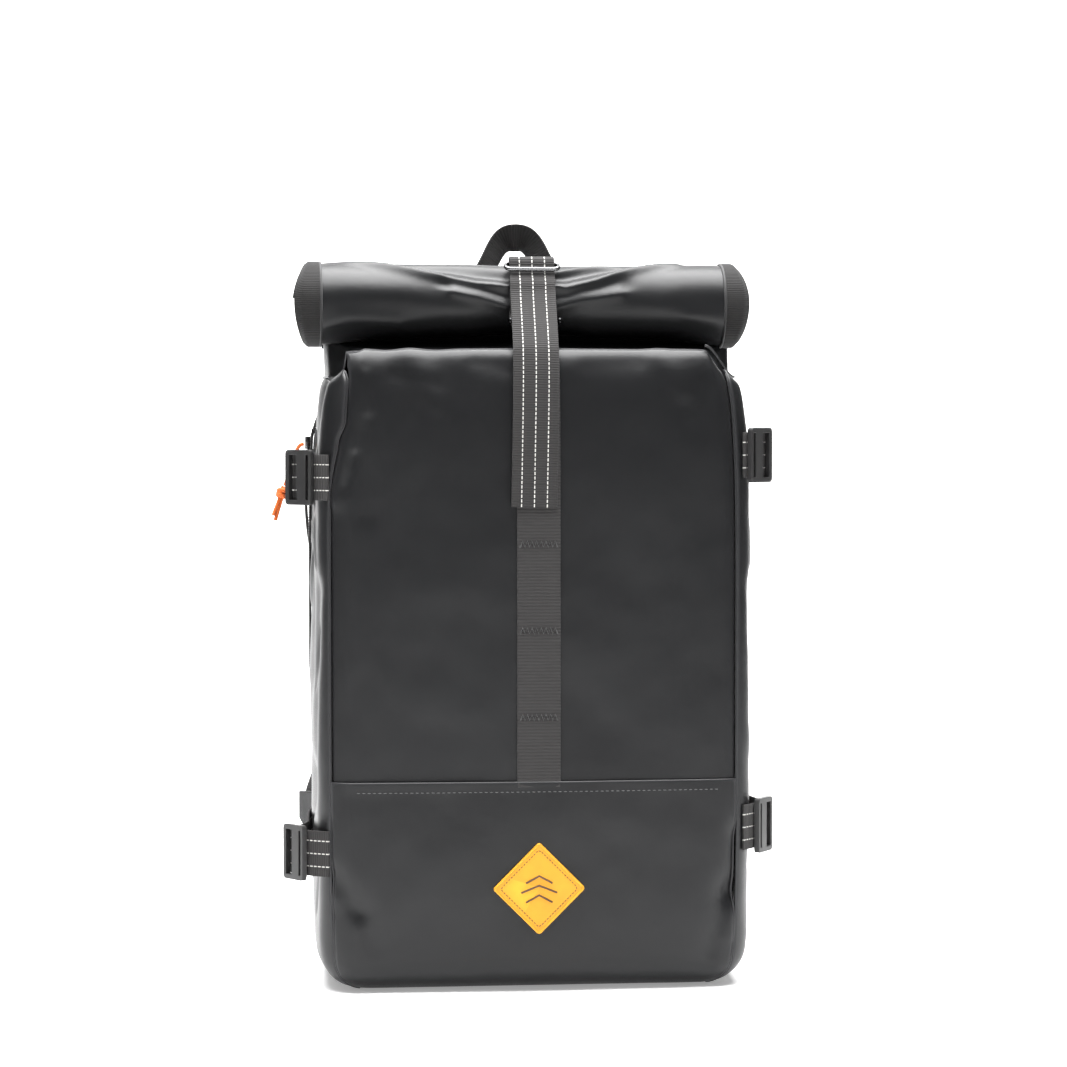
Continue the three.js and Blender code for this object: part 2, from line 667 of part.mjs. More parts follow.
function buildClosure() {
  const ply = webbingThickness / 2;
  const near = strapGap + ply;
  const layer = webbingThickness + strapGap;
  const ringLift = strapGap + layer + ringWire / 2;
  const ringPlace = rollPoint(0, ringAngle, ringLift + ply);
  const tilt = (ringAngle - 90) * degrees;

  const loop = wireLoop(webbingWidth + 2 * ringWire + ringMargin, ringHeight, ringWire);
  loop.rotateX(tilt).translate(ringPlace.x, ringPlace.y, ringPlace.z);
  addPiece('closure_ring', loop, materials.steel);

  // Down the loop's slope from its middle, in the side view.
  const slope = new THREE.Vector3(0, -Math.cos(tilt), -Math.sin(tilt));
  const outward = new THREE.Vector3(0, -Math.sin(tilt), Math.cos(tilt));
  const barReach = ringHeight / 2 - ringWire / 2;
  const turn = ringWire / 2 + strapGap + ply;
  const foldRound = (reach, from, to) => {
    const bar = ringPlace.clone().addScaledVector(slope, reach);
    return spread(from, to, 4).map((angle) =>
      bar.clone()
        .addScaledVector(outward, turn * Math.cos(angle * degrees))
        .addScaledVector(slope, -turn * Math.sin(angle * degrees)));
  };

  // From the back, up over the roll and round the loop's upper bar.
  const backFace = halfDepth + strapGap + ply;
  const anchorFoot = [
    new THREE.Vector3(0, backFace, shoulderHeight - anchorDrop),
    new THREE.Vector3(0, backFace, shoulderHeight - 2 * rollClearance),
    new THREE.Vector3(0, backFace - rollClearance, shoulderHeight + rollClearance),
  ];
  const overRoll = spread(20, 96, 5).map((angle) => rollPoint(0, angle, strapGap + ply));
  const anchorLine = [...anchorFoot, ...overRoll, ...foldRound(-barReach, 190, 0)];
  addPiece('closure_anchor_strap', straightWebbing(anchorLine, anchorWidth), materials.webbing);

  // The tail crosses from the roll to the crest of the front panel, and the hook lies under that stretch.
  const crestFace = wallRows[wallTop].front + frontCrown;
  const overCrest = new THREE.Vector3(0, -(crestFace + 2 * layer), shoulderHeight + layer);
  const overHook = near + hookLift;
  const offRoll = rollPoint(0, offRollAngle, overHook);
  const fall = overCrest.clone().sub(offRoll).normalize();
  const inward = new THREE.Vector3(0, -fall.z, fall.y);
  const hookPlace = offRoll.clone().lerp(overCrest, hookShare).addScaledVector(inward, near + hookWire / 2);
  const hook = wireLoop(webbingWidth + 2 * hookWire, hookHeight, hookWire);
  hook.rotateX(Math.atan2(-fall.z, -fall.y)).translate(0, hookPlace.y, hookPlace.z);
  addPiece('closure_hook', hook, materials.steel);

  // From the hook up the front of the roll, round the loop's lower bar and down to the free end.
  const hookBar = hookPlace.clone().addScaledVector(fall, -(hookHeight - hookWire) / 2);
  const underHook = [hookWire, 0].map((down) =>
    hookBar.clone().addScaledVector(inward, near + hookWire / 2).addScaledVector(fall, down));
  const underRoll = [205, 190, 172, 155, 140].map((angle) => rollPoint(0, angle, near));
  const upperTurn = foldRound(barReach, 170, -25);
  const onDaisy = frontStrapLevels.filter((share) => share * shoulderHeight > tailEndHeight).reverse()
    .map((share) => frontFacePoint(0, share * shoulderHeight, strapGap + layer + ply));
  const tailLine = [
    ...underHook,
    ...underRoll, ...upperTurn,
    rollPoint(0, 150, overHook),
    offRoll,
    overCrest,
    ...onDaisy,
    frontFacePoint(0, tailEndHeight, strapGap + layer + ply),
  ];
  const skewed = tailLine.map((point) => {
    const fall = THREE.MathUtils.clamp((ringPlace.z - point.z) / (ringPlace.z - tailEndHeight), 0, 1);
    return point.clone().setX(-tailSkew * fall);
  });
  addPiece('closure_strap', straightWebbing(skewed, webbingWidth), materials.webbing);

  const strapLevels = frontStrapLevels.map((share) => share * shoulderHeight);
  const daisyHeights = [hemHeight + lapGap, tailEndHeight, ...strapLevels].sort((a, b) => a - b);
  const daisyLine = daisyHeights.map((height) => frontFacePoint(0, height, near));
  daisyLine.push(new THREE.Vector3(0, -(crestFace + crestClearance), shoulderHeight - near));
  daisyLine.push(new THREE.Vector3(0, -(crestFace - near), shoulderHeight + crestClearance));
  addPiece('daisy_strap', straightWebbing(daisyLine, daisyWidth), materials.webbing);
}

function buildPatch() {
  const reach = patchSide / Math.SQRT2;
  const diamond = new THREE.Shape([[0, -reach], [reach, 0], [0, reach], [-reach, 0]]
    .map(([x, y]) => new THREE.Vector2(x, y)));
  const plate = new THREE.ExtrudeGeometry(diamond, { depth: patchThickness, bevelEnabled: false });
  plate.rotateX(90 * degrees);
  const face = frontFacePoint(0, patchHeight, 0).y - frontInset;
  plate.translate(0, face - strapGap, patchHeight);
  addPiece('patch', plate, materials.patchFace);
}

// A loop of webbing whose feet lie flat on the back and whose top leans backwards.
function buildHandle() {
  const foot = halfDepth + strapGap + webbingThickness / 2;
  const footHeight = shoulderHeight - handleDrop;
  const topTurn = handleRoute[handleRoute.length - 1].turn * 90 * degrees;
  const rise = handleDrop + handleRise - (handleWebbing / 2) * Math.cos(topTurn);
  const half = handleRoute.map((row) => ({ ...row, across: -row.across }));
  const whole = [...half, ...handleRoute.slice(0, -1).reverse()];
  const points = whole.map((row) =>
    new THREE.Vector3((row.across * (handleSpan - handleWebbing)) / 2, foot, footHeight + rise * row.up));
  const stations = points.map((point, i) => {
    const before = points[Math.max(0, i - 1)];
    const along = points[Math.min(points.length - 1, i + 1)].clone().sub(before).normalize();
    const turn = whole[i].turn * 90 * degrees;
    const across = new THREE.Vector3(along.z, 0, -along.x).multiplyScalar(Math.cos(turn));
    across.y = Math.sin(turn);
    return { point, across, width: handleWebbing };
  });
  addPiece('carry_handle', ribbon(stations, webbingThickness), materials.webbing);
}

// A point on the right gusset at a level, pushed out by a gap, or its mirror image on the left.
function gussetPoint(side, s, height, gap) {
  const place = placeOfHeight(height);
  const point = surfacePoint(wallRows, s, place).addScaledVector(surfaceNormal(wallRows, s, place), gap);
  return new THREE.Vector3(side * point.x, point.y, height);
}

// The same for a strap that lies on the gusset: it clears the wider of the levels at its two edges.
function strapPoint(side, s, height, gap) {
  const edges = [-1, 1].map((edge) => gussetPoint(side, s, height + (edge * webbingWidth) / 2, gap));
  const wider = Math.abs(edges[0].x) > Math.abs(edges[1].x) ? edges[0] : edges[1];
  return wider.setZ(height);
}

// Side straps run from the front seam behind their buckle and along the gusset to the back seam.
function buildSideStraps() {
  const ply = webbingThickness / 2;
  const near = strapGap + ply;
  const overZip = zipThickness + 2 * lapGap + ply;
  for (const { name, side, up, around, out, turn } of sideStrapLevels) {
    const height = up * shoulderHeight;
    const centre = gussetPoint(side, around, height, out);
    const [c, s] = [Math.cos(turn * degrees), Math.sin(turn * degrees)];
    const along = new THREE.Vector3(side * c, s, 0);
    const facing = new THREE.Vector3(side * s, -c, 0);
    const behind = centre.clone().addScaledVector(facing, -(buckleThickness / 2 + strapGap + near));
    const line = [
      strapPoint(side, 1 + frontSeam + 0.08, height, near),
      ...strapUnderBuckle.map((share) => behind.clone().addScaledVector(along, share * buckleLength)),
      strapPoint(side, 2.3, height, overZip + 2 * ply),
      strapPoint(side, 2.55, height, overZip),
      strapPoint(side, 2.75, height, overZip),
      strapPoint(side, 3, height, overZip),
      strapPoint(side, 3 + backSeam * 0.3, height, (near + overZip) / 2),
      strapPoint(side, 3 + backSeam * 0.6, height, near),
      strapPoint(side, 3 + backSeam * 0.9, height, near),
    ];
    const across = new THREE.Vector3(0, 0, 1);
    const stations = line.map((point) => ({ point, across, width: webbingWidth }));
    addPiece('side_strap_' + name, ribbon(stations, webbingThickness), materials.webbing);

    const buckle = ladderBuckle(buckleLength, buckleHeight, buckleThickness, buckleBar);
    buckle.rotateX(90 * degrees).rotateZ(side * turn * degrees).translate(centre.x, centre.y, height);
    addPiece('side_buckle_' + name, buckle, materials.plastic);
  }
}

// The middle line of a shoulder strap, its width at each place, and the frame that lies across it.
function shoulderStations(side) {
  const behind = halfDepth + lapGap + shoulderStrapThickness / 2;
  const points = shoulderRoute.map((row) =>
    new THREE.Vector3(
      side * row.across * halfWidth, behind + row.out * shoulderStandOff, row.up * shoulderHeight));
  const curve = new THREE.CatmullRomCurve3(points, false, 'centripetal');
  const steps = 18;
  return spread(0, 1, steps).map((t) => {
    const row = t * (shoulderRoute.length - 1);
    const low = Math.min(Math.floor(row), shoulderRoute.length - 2);
    const wide = THREE.MathUtils.lerp(shoulderRoute[low].wide, shoulderRoute[low + 1].wide, row - low);
    const along = curve.getTangent(t);
    const facing = new THREE.Vector3(0, 1, 0).addScaledVector(along, -along.y).normalize();
    const across = new THREE.Vector3().crossVectors(along, facing);
    return { point: curve.getPoint(t), along, facing, across, width: wide * shoulderStrapWidth };
  });
}

function buildShoulderStraps() {
  const sides = 12;
  for (const [name, side] of [['left', -1], ['right', 1]]) {
    const stations = shoulderStations(side);
    const rings = stations.map(({ point, facing, across, width }) =>
      spread(0, 360, sides).slice(0, -1).map((angle) => {
        const [c, s] = [Math.cos(angle * degrees), Math.sin(angle * degrees)];
        const [flat, round] = [Math.sign(c) * Math.abs(c) ** 0.5, Math.sign(s) * Math.abs(s) ** 0.5];
        return point.clone()
          .addScaledVector(across, (flat * width) / 2)
          .addScaledVector(facing, (round * shoulderStrapThickness) / 2);
      }));
    const outline = spread(0, 360, sides).slice(0, -1).map((angle) =>
      new THREE.Vector2(Math.cos(angle * degrees), Math.sin(angle * degrees)));
    addPiece('shoulder_strap_' + name, loftRings(rings, outline), materials.padding);

    const last = stations[stations.length - 1];
    const buckleAt = last.point.clone().addScaledVector(last.along, shoulderBuckleLength / 2 + lapGap);
    const buckle = ladderBuckle(shoulderBuckleLength, shoulderBuckleHeight, buckleThickness, buckleBar);
    const upwards = last.facing.clone().cross(last.along);
    const turned = new THREE.Matrix4().makeBasis(last.along, upwards, last.facing);
    buckle.applyMatrix4(turned.setPosition(buckleAt));
    addPiece('shoulder_buckle_' + name, buckle, materials.plastic);

    // The tab at the lower corner of the back, and the webbing from the buckle down to it.
    const corner = gussetPoint(side, 3 + backSeam, wingLevel, lapGap + wingThickness / 2);
    const wing = new THREE.Shape(wingOutline
      .map(([reach, height]) => new THREE.Vector2(reach * wingReach, height * wingHeight)));
    const tab = new THREE.ExtrudeGeometry(wing, { depth: wingThickness, bevelEnabled: false });
    tab.translate(0, -wingHeight / 2, -wingThickness / 2).rotateX(90 * degrees);
    tab.rotateZ(side > 0 ? wingTurn * degrees : (180 - wingTurn) * degrees);
    tab.translate(corner.x, corner.y, wingLevel);
    addPiece('strap_wing_' + name, tab, materials.webbing);

    const [c, s] = [Math.cos(wingTurn * degrees), Math.sin(wingTurn * degrees)];
    const out = new THREE.Vector3(side * c, s, 0);
    const wingFacing = new THREE.Vector3(-side * s, c, 0);
    const offWing = wingThickness / 2 + strapGap + webbingThickness / 2;
    const onTab = corner.clone().addScaledVector(out, wingReach * sewnReach);
    const sewn = onTab.addScaledVector(wingFacing, offWing);
    const offBuckle = buckleThickness / 2 + 2 * strapGap + webbingThickness / 2;
    const top = buckleAt.clone().addScaledVector(last.facing, offBuckle);
    const onWing = out.clone().multiplyScalar(side);
    const [overEnd, pastEnd] = webbingOverBuckle.map((share) =>
      top.clone().addScaledVector(last.along, share * shoulderBuckleLength));
    const [sewnFoot, sewnTop] = sewnLevels.map((share) => sewn.clone().setZ(wingLevel + share * wingHeight));
    const webbing = [
      { point: overEnd, across: last.across },
      ...spread(0, 1, 4).map((share) => ({
        point: pastEnd.clone().lerp(sewnTop, share),
        across: last.across.clone().lerp(onWing, share),
      })),
      { point: sewnFoot, across: onWing },
    ].map((station) => ({ ...station, width: shoulderWebbingWidth }));
    addPiece('shoulder_webbing_' + name, ribbon(webbing, webbingThickness), materials.webbing);
  }
}

// The zip runs up the rear of the left gusset, with its slider at the top end.
function buildZip() {
  const lie = (height, gap) => gussetPoint(-1, zipPlace, height, gap);
  const heights = spread(zipTop - zipLength, zipTop, 14);
  const tape = heights.map((height) => ({
    point: lie(height, lapGap + zipThickness / 2),
    across: gussetPoint(-1, zipPlace + 0.05, height, 0).sub(gussetPoint(-1, zipPlace - 0.05, height, 0)),
    width: zipWidth,
  }));
  addPiece('side_zip', ribbon(tape, zipThickness), materials.webbing);

  const sliderLevel = zipTop - sliderLength;
  const sliderFoot = lie(sliderLevel, 3 * lapGap + zipThickness + sliderHeight / 2);
  const slider = new THREE.CylinderGeometry(sliderHeight * 0.5, sliderHeight * 0.5, sliderHeight, 12);
  slider.scale(1.3, 1, sliderLength / sliderHeight);
  slider.rotateZ(90 * degrees);
  slider.translate(sliderFoot.x, sliderFoot.y, sliderFoot.z);
  addPiece('zip_slider', slider, materials.steel);

  const route = new THREE.CatmullRomCurve3(pullCordRoute.map(([x, y, z]) => new THREE.Vector3(x, y, z)));
  const round = new THREE.Shape();
  round.absarc(0, 0, pullCordDiameter / 2, 0, 2 * Math.PI, false);
  const cord = new THREE.ExtrudeGeometry(round, { extrudePath: route, steps: 8, curveSegments: 4 });
  addPiece('zip_pull_cord', cord, materials.orangeCord);

  // The knot with its cut ends, as one turned body in line with the cord's end.
  const end = route.getPoint(1);
  const along = route.getTangent(1);
  const profile = knotProfile
    .map(([radius, down]) => new THREE.Vector2(radius * pullKnotRadius, down * pullKnotRadius));
  const knot = new THREE.LatheGeometry(profile, 10);
  const place = new THREE.Matrix4().makeRotationFromQuaternion(
    new THREE.Quaternion().setFromUnitVectors(new THREE.Vector3(0, 1, 0), along));
  knot.applyMatrix4(place.setPosition(end.clone().addScaledVector(along, lapGap)));
  addPiece('zip_pull_knot', knot, materials.orangeCord);
}

buildPanels();
buildBase();
buildCollar();
buildRoll();
buildClosure();
buildPatch();
buildHandle();
buildSideStraps();
buildShoulderStraps();
buildZip();

export default backpack;
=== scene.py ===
import math

import bmesh
import bpy
from mathutils import Matrix, Vector, noise


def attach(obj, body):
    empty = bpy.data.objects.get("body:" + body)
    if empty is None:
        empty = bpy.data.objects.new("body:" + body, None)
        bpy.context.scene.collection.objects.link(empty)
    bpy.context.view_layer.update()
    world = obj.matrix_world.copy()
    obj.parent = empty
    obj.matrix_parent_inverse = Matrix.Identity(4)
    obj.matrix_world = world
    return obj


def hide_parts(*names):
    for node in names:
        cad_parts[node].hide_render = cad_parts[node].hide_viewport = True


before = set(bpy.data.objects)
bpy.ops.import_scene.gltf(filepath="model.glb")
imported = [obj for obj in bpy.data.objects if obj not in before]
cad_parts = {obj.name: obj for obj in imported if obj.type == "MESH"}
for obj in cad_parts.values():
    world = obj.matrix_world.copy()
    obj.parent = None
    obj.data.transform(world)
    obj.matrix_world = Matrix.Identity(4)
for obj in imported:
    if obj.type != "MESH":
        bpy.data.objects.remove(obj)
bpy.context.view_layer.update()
mm = 0.001  # shapes are worked out in millimetres and made metres as each mesh is filled
sharpAngle = math.radians(50)  # steeper edges are shaded sharp, and bevelled where a bevel is asked for


def addObject(name, data):
    made = bpy.data.objects.new(name, data)
    bpy.context.scene.collection.objects.link(made)
    return made


# Camera, at the photograph's place

camera = dict(lens=101.8, sensor=36, place=(-0.2572, -2.5868, 0.471), target=(0.0056, 0, 0.38))


def makeCamera():
    data = bpy.data.cameras.new("camera")
    data.lens = camera["lens"]
    data.sensor_width = camera["sensor"]
    data.clip_end = 50
    eye = addObject("camera", data)
    eye.location = camera["place"]
    look = Vector(camera["target"]) - eye.location
    eye.rotation_euler = look.to_track_quat("-Z", "Y").to_euler()
    bpy.context.scene.camera = eye


makeCamera()
print("camera placed")


# Helpers for numbers and lines

def lerp(low, high, share):
    return low + (high - low) * share


def clamp(value, low=0.0, high=1.0):
    return min(max(value, low), high)


def smooth(value, low, high):
    share = clamp((value - low) / (high - low))
    return share * share * (3 - 2 * share)


def lineLength(points):
    return sum((b - a).length for a, b in zip(points, points[1:]))


def roundCorners(rows, rounds=3):  # cuts each corner at a quarter and three quarters; the ends stay
    for _ in range(rounds):
        cut = [rows[0]]
        for a, b in zip(rows, rows[1:]):
            cut.append([lerp(p, q, 0.25) for p, q in zip(a, b)])
            cut.append([lerp(p, q, 0.75) for p, q in zip(a, b)])
        cut.append(rows[-1])
        rows = cut
    return rows


def spaceEvenly(rows, step):  # the first three numbers of a row are its point
    points = [Vector(row[:3]) for row in rows]
    total = lineLength(points)
    count = max(2, round(total / step))
    made, run, segment = [], 0.0, 0
    for i in range(count + 1):
        goal = total * i / count
        while segment < len(points) - 2 and run + (points[segment + 1] - points[segment]).length < goal:
            run += (points[segment + 1] - points[segment]).length
            segment += 1
        long = (points[segment + 1] - points[segment]).length
        share = clamp((goal - run) / long) if long > 0 else 0
        made.append([lerp(p, q, share) for p, q in zip(rows[segment], rows[segment + 1])])
    return made


def densify(line, step=3):  # a closed line with its points no further apart than about the step
    dense = []
    for a, b in zip(line, line[1:] + line[:1]):
        parts = max(1, round((b - a).length / step))
        dense += [a.lerp(b, i / parts) for i in range(parts)]
    return dense


# Helpers for meshes

def wrapGrid(columns, rows, place, size=(1, 1), joined=False, capped=False):
    # a flat grid moved onto a surface; place(u, v) gives each point, and size its real width and length
    shape = bmesh.new()
    uvLayer = shape.loops.layers.uv.new("UVMap")
    bmesh.ops.create_grid(shape, x_segments=columns, y_segments=rows, size=0.5, calc_uvs=True)
    for face in shape.faces:
        for loop in face.loops:
            spot = loop.vert.co
            loop[uvLayer].uv = ((spot.x + 0.5) * size[0] * mm, (spot.y + 0.5) * size[1] * mm)
    for vert in shape.verts:
        vert.co = place(vert.co.x + 0.5, vert.co.y + 0.5) * mm
    if joined:
        bmesh.ops.remove_doubles(shape, verts=shape.verts, dist=0.00002)
    if capped:
        rim = [edge for edge in shape.edges if edge.is_boundary]
        bmesh.ops.holes_fill(shape, edges=rim)
        bmesh.ops.recalc_face_normals(shape, faces=shape.faces)
    return shape


def faceOutwards(shape, middle):  # turns an open panel so that its front looks away from the middle line
    votes = 0
    shape.normal_update()
    for face in shape.faces:
        spot = face.calc_center_median()
        votes += 1 if face.normal.dot(spot - middle(spot)) > 0 else -1
    if votes < 0:
        bmesh.ops.reverse_faces(shape, faces=shape.faces)


def addPiece(shape, name, material, nodes=(), wall=0, offset=-1, bevel=0, segments=2):
    mesh = bpy.data.meshes.new(name)
    shape.to_mesh(mesh)
    shape.free()
    mesh.shade_smooth()
    mesh.set_sharp_from_angle(angle=sharpAngle)
    piece = addObject(name, mesh)
    mesh.materials.append(material)
    if wall:
        thick = piece.modifiers.new("wall", "SOLIDIFY")
        thick.thickness = wall * mm
        thick.offset = offset
    if bevel:
        edge = piece.modifiers.new("edge", "BEVEL")
        edge.width = bevel * mm
        edge.segments = segments
        edge.limit_method = "ANGLE"
        edge.angle_limit = sharpAngle
    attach(piece, "root")
    if nodes:
        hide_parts(*nodes)
    return piece


def tubeShape(points, radius, sides=12, closed=False):  # radius is a number, or a function of the share
    radiusAt = radius if callable(radius) else lambda share: radius
    count = len(points) if closed else len(points) - 1
    frames = []
    across = None
    for i, point in enumerate(points):
        if closed:
            along = points[(i + 1) % len(points)] - points[i - 1]
        else:
            along = points[min(i + 1, len(points) - 1)] - points[max(i - 1, 0)]
        along.normalize()
        if across is None:
            across = along.orthogonal().normalized()
        across = (across - along * across.dot(along)).normalized()
        frames.append((point, across.copy(), along.cross(across)))

    def place(u, v):
        spot = min(round(u * count), count)
        point, side, up = frames[spot % len(points)]
        angle = 2 * math.pi * v
        reach = max(radiusAt(u), 0.01)
        return point + side * (reach * math.cos(angle)) + up * (reach * math.sin(angle))

    around = 2 * math.pi * radiusAt(0.5)
    return wrapGrid(count, sides, place, (lineLength(points), around), joined=True, capped=True)


def ribbonShape(stations, columns):  # a station: point, the way its width runs, width
    points = [Vector(row[:3]) for row in stations]
    count = len(stations) - 1

    def place(u, v):
        i = min(round(u * count), count)
        row = stations[i]
        along = (points[min(i + 1, count)] - points[max(i - 1, 0)]).normalized()
        across = Vector(row[3:6])
        across = (across - along * across.dot(along)).normalized()
        return points[i] + across * ((2 * v - 1) * row[6] / 2)

    return wrapGrid(count, columns, place, (lineLength(points), stations[0][6]))


def mergeShapes(shapes):
    whole = shapes[0]
    for other in shapes[1:]:
        spare = bpy.data.meshes.new("spare")
        other.to_mesh(spare)
        whole.from_mesh(spare)
        other.free()
        bpy.data.meshes.remove(spare)
    return whole


def inflate(piece, cap, voxel=0.005, pressure=4, frames=20):
    # swells a closed pad as cloth under pressure, and moves each point by at most the cap
    remesh = piece.modifiers.new("even", "REMESH")
    remesh.mode = "VOXEL"
    remesh.voxel_size = voxel
    takeModifiers(piece)
    start = [vert.co.copy() for vert in piece.data.vertices]
    pad = piece.modifiers.new("pad", "CLOTH")
    pad.settings.use_pressure = True
    pad.settings.uniform_pressure_force = pressure
    pad.settings.effector_weights.gravity = 0
    pad.point_cache.frame_start = 1
    pad.point_cache.frame_end = frames
    for count in range(1, frames + 1):
        bpy.context.scene.frame_set(count)
    takeModifiers(piece)
    for vert, before in zip(piece.data.vertices, start):
        moved = vert.co - before
        if moved.length > cap:
            vert.co = before + moved * (cap / moved.length)
    bpy.context.scene.frame_set(1)
    piece.data.shade_smooth()


def takeModifiers(piece):  # the mesh as the modifiers leave it, in place of the piece's own
    shaped = piece.evaluated_get(bpy.context.evaluated_depsgraph_get())
    mesh = bpy.data.meshes.new_from_object(shaped)
    piece.modifiers.clear()
    piece.data = mesh


def stitchShape(spots, long, wide, high):  # a spot: point, the way the thread runs, the way it faces
    shape = bmesh.new()
    shape.loops.layers.uv.new("UVMap")
    for point, along, up in spots:
        along = along.normalized()
        up = (up - along * up.dot(along)).normalized()
        turn = Matrix((along, up.cross(along), up)).transposed().to_4x4()
        size = Matrix.Diagonal((long / 2 * mm, wide / 2 * mm, high / 2 * mm, 1))
        at = Matrix.Translation(point * mm) @ turn @ size
        bmesh.ops.create_uvsphere(shape, u_segments=6, v_segments=5, radius=1, matrix=at, calc_uvs=True)
    return shape


def spotsAlong(line, pitch, up):  # evenly spaced places along a line, up is a function of the point
    rows = spaceEvenly([list(point) for point in line], pitch)
    points = [Vector(row) for row in rows]
    spots = []
    for a, b in zip(points, points[1:]):
        spots.append(((a + b) / 2, b - a, up((a + b) / 2)))
    return spots


# Helpers for materials

def addNode(tree, kind, inputs=None, **settings):
    made = tree.nodes.new(kind)
    for name, value in settings.items():
        setattr(made, name, value)
    for key, value in (inputs or {}).items():
        if isinstance(value, bpy.types.NodeSocket):
            tree.links.new(value, made.inputs[key])
        else:
            made.inputs[key].default_value = value
    return made


def calc(tree, operation, a, b=0.0, c=0.0):
    return addNode(tree, "ShaderNodeMath", {0: a, 1: b, 2: c}, operation=operation).outputs[0]


def mixColour(tree, share, a, b):
    return addNode(tree, "ShaderNodeMix", {0: share, 6: a, 7: b}, data_type="RGBA").outputs[2]


def blend(tree, a, shareOfA, b, shareOfB):
    return calc(tree, "MULTIPLY_ADD", a, shareOfA, calc(tree, "MULTIPLY", b, shareOfB))


def tinted(colour, share):
    return tuple(min(1.0, share * part) for part in colour[:3]) + (1,)


def fromRange(tree, value, low, high, start=0.0, end=1.0):
    return addNode(tree, "ShaderNodeMapRange", {0: value, 1: start, 2: end, 3: low, 4: high}).outputs[0]


def newMaterial(name, **sockets):
    material = bpy.data.materials.new(name)
    material.use_nodes = True
    tree = material.node_tree
    shader = tree.nodes["Principled BSDF"]
    for socket, value in sockets.items():
        shader.inputs[socket.replace("_", " ")].default_value = value
    return material, tree, shader


def surfaceNoise(tree, scale, detail=3.0, rough=0.5):
    place = addNode(tree, "ShaderNodeTexCoord").outputs["Object"]
    return addNode(tree, "ShaderNodeTexNoise", {"Vector": place, "Scale": scale, "Detail": detail,
                                                "Roughness": rough}).outputs[0]


def pieceUv(tree):
    place = addNode(tree, "ShaderNodeTexCoord").outputs["UV"]
    parts = addNode(tree, "ShaderNodeSeparateXYZ", {0: place})
    return parts.outputs[0], parts.outputs[1]


def ripple(tree, value, pitch):  # 0 to 1 and back once in each pitch, in metres
    turned = calc(tree, "MULTIPLY", value, 2 * math.pi / pitch)
    return calc(tree, "MULTIPLY_ADD", calc(tree, "SINE", turned), 0.5, 0.5)


def setBump(tree, shader, layers):  # each layer: height, strength, distance in metres
    below = None
    for height, strength, distance in layers:
        inputs = {"Height": height, "Strength": strength, "Distance": distance}
        if below is not None:
            inputs["Normal"] = below
        below = addNode(tree, "ShaderNodeBump", inputs).outputs[0]
    tree.links.new(below, shader.inputs["Normal"])


def wornEdges(tree, start, end):  # 1 on sharp outer edges
    point = addNode(tree, "ShaderNodeNewGeometry").outputs["Pointiness"]
    return fromRange(tree, point, 0.0, 1.0, start, end)


def wornColour(tree, base, pale, start, end, share):
    return mixColour(tree, calc(tree, "MULTIPLY", wornEdges(tree, start, end), share), base, pale)


def dressShader(tree, shader, colour, rough, layers):
    tree.links.new(colour, shader.inputs["Base Color"])
    tree.links.new(rough, shader.inputs["Roughness"])
    setBump(tree, shader, layers)


cloth = dict(
    # the pale colour is mixed in as a random mottle and as painted light on the raised weave, with painted
    # shade between its threads
    colour=(0.0055, 0.0056, 0.0063, 1), paleMottleAndWeaveLight=(0.011, 0.0113, 0.0124, 1), worn=(0.1, 0.1, 0.105, 1),
    weave=0.0007, rough=(0.31, 0.45),
)


def makeCoatedFabric():
    material, tree, shader = newMaterial("coated_fabric", Sheen_Weight=0.02, Sheen_Roughness=0.4,
                                         Specular_IOR_Level=0.3)
    along, across = pieceUv(tree)
    broad = surfaceNoise(tree, 9, 4)
    fine = surfaceNoise(tree, 260, 3)
    weave = calc(tree, "MULTIPLY", ripple(tree, along, cloth["weave"]), ripple(tree, across, cloth["weave"]))
    # paler on the raised weave and darker between its threads, painted light and shade, and mottled at random
    # by the broad noise
    colour = mixColour(tree, blend(tree, weave, 0.35, broad, 0.6), cloth["colour"], cloth["paleMottleAndWeaveLight"])
    colour = wornColour(tree, colour, cloth["worn"], 0.52, 0.62, 0.35)
    rough = fromRange(tree, blend(tree, fine, 0.4, broad, 0.6), *cloth["rough"])
    dressShader(tree, shader, colour, rough, [
        (weave, 0.25, 0.00012), (fine, 0.2, 0.0002), (surfaceNoise(tree, 45, 2), 0.25, 0.0012)])
    return material


webbingLook = dict(
    # colour is the webbing in the grooves between ribs and yarns and high is on their raised tops, so the
    # grooves carry painted shade
    colour=(0.017, 0.016, 0.016, 1), high=(0.037, 0.035, 0.035, 1), rib=0.0021, yarn=0.0009,
    # the reflective dashes: their colour, lengths in metres, and rowWidth as a share of rowPitch
    thread=(0.62, 0.61, 0.58, 1), halfWidth=0.019, rowPitch=0.0107, rowWidth=0.042, dash=0.0038,
)


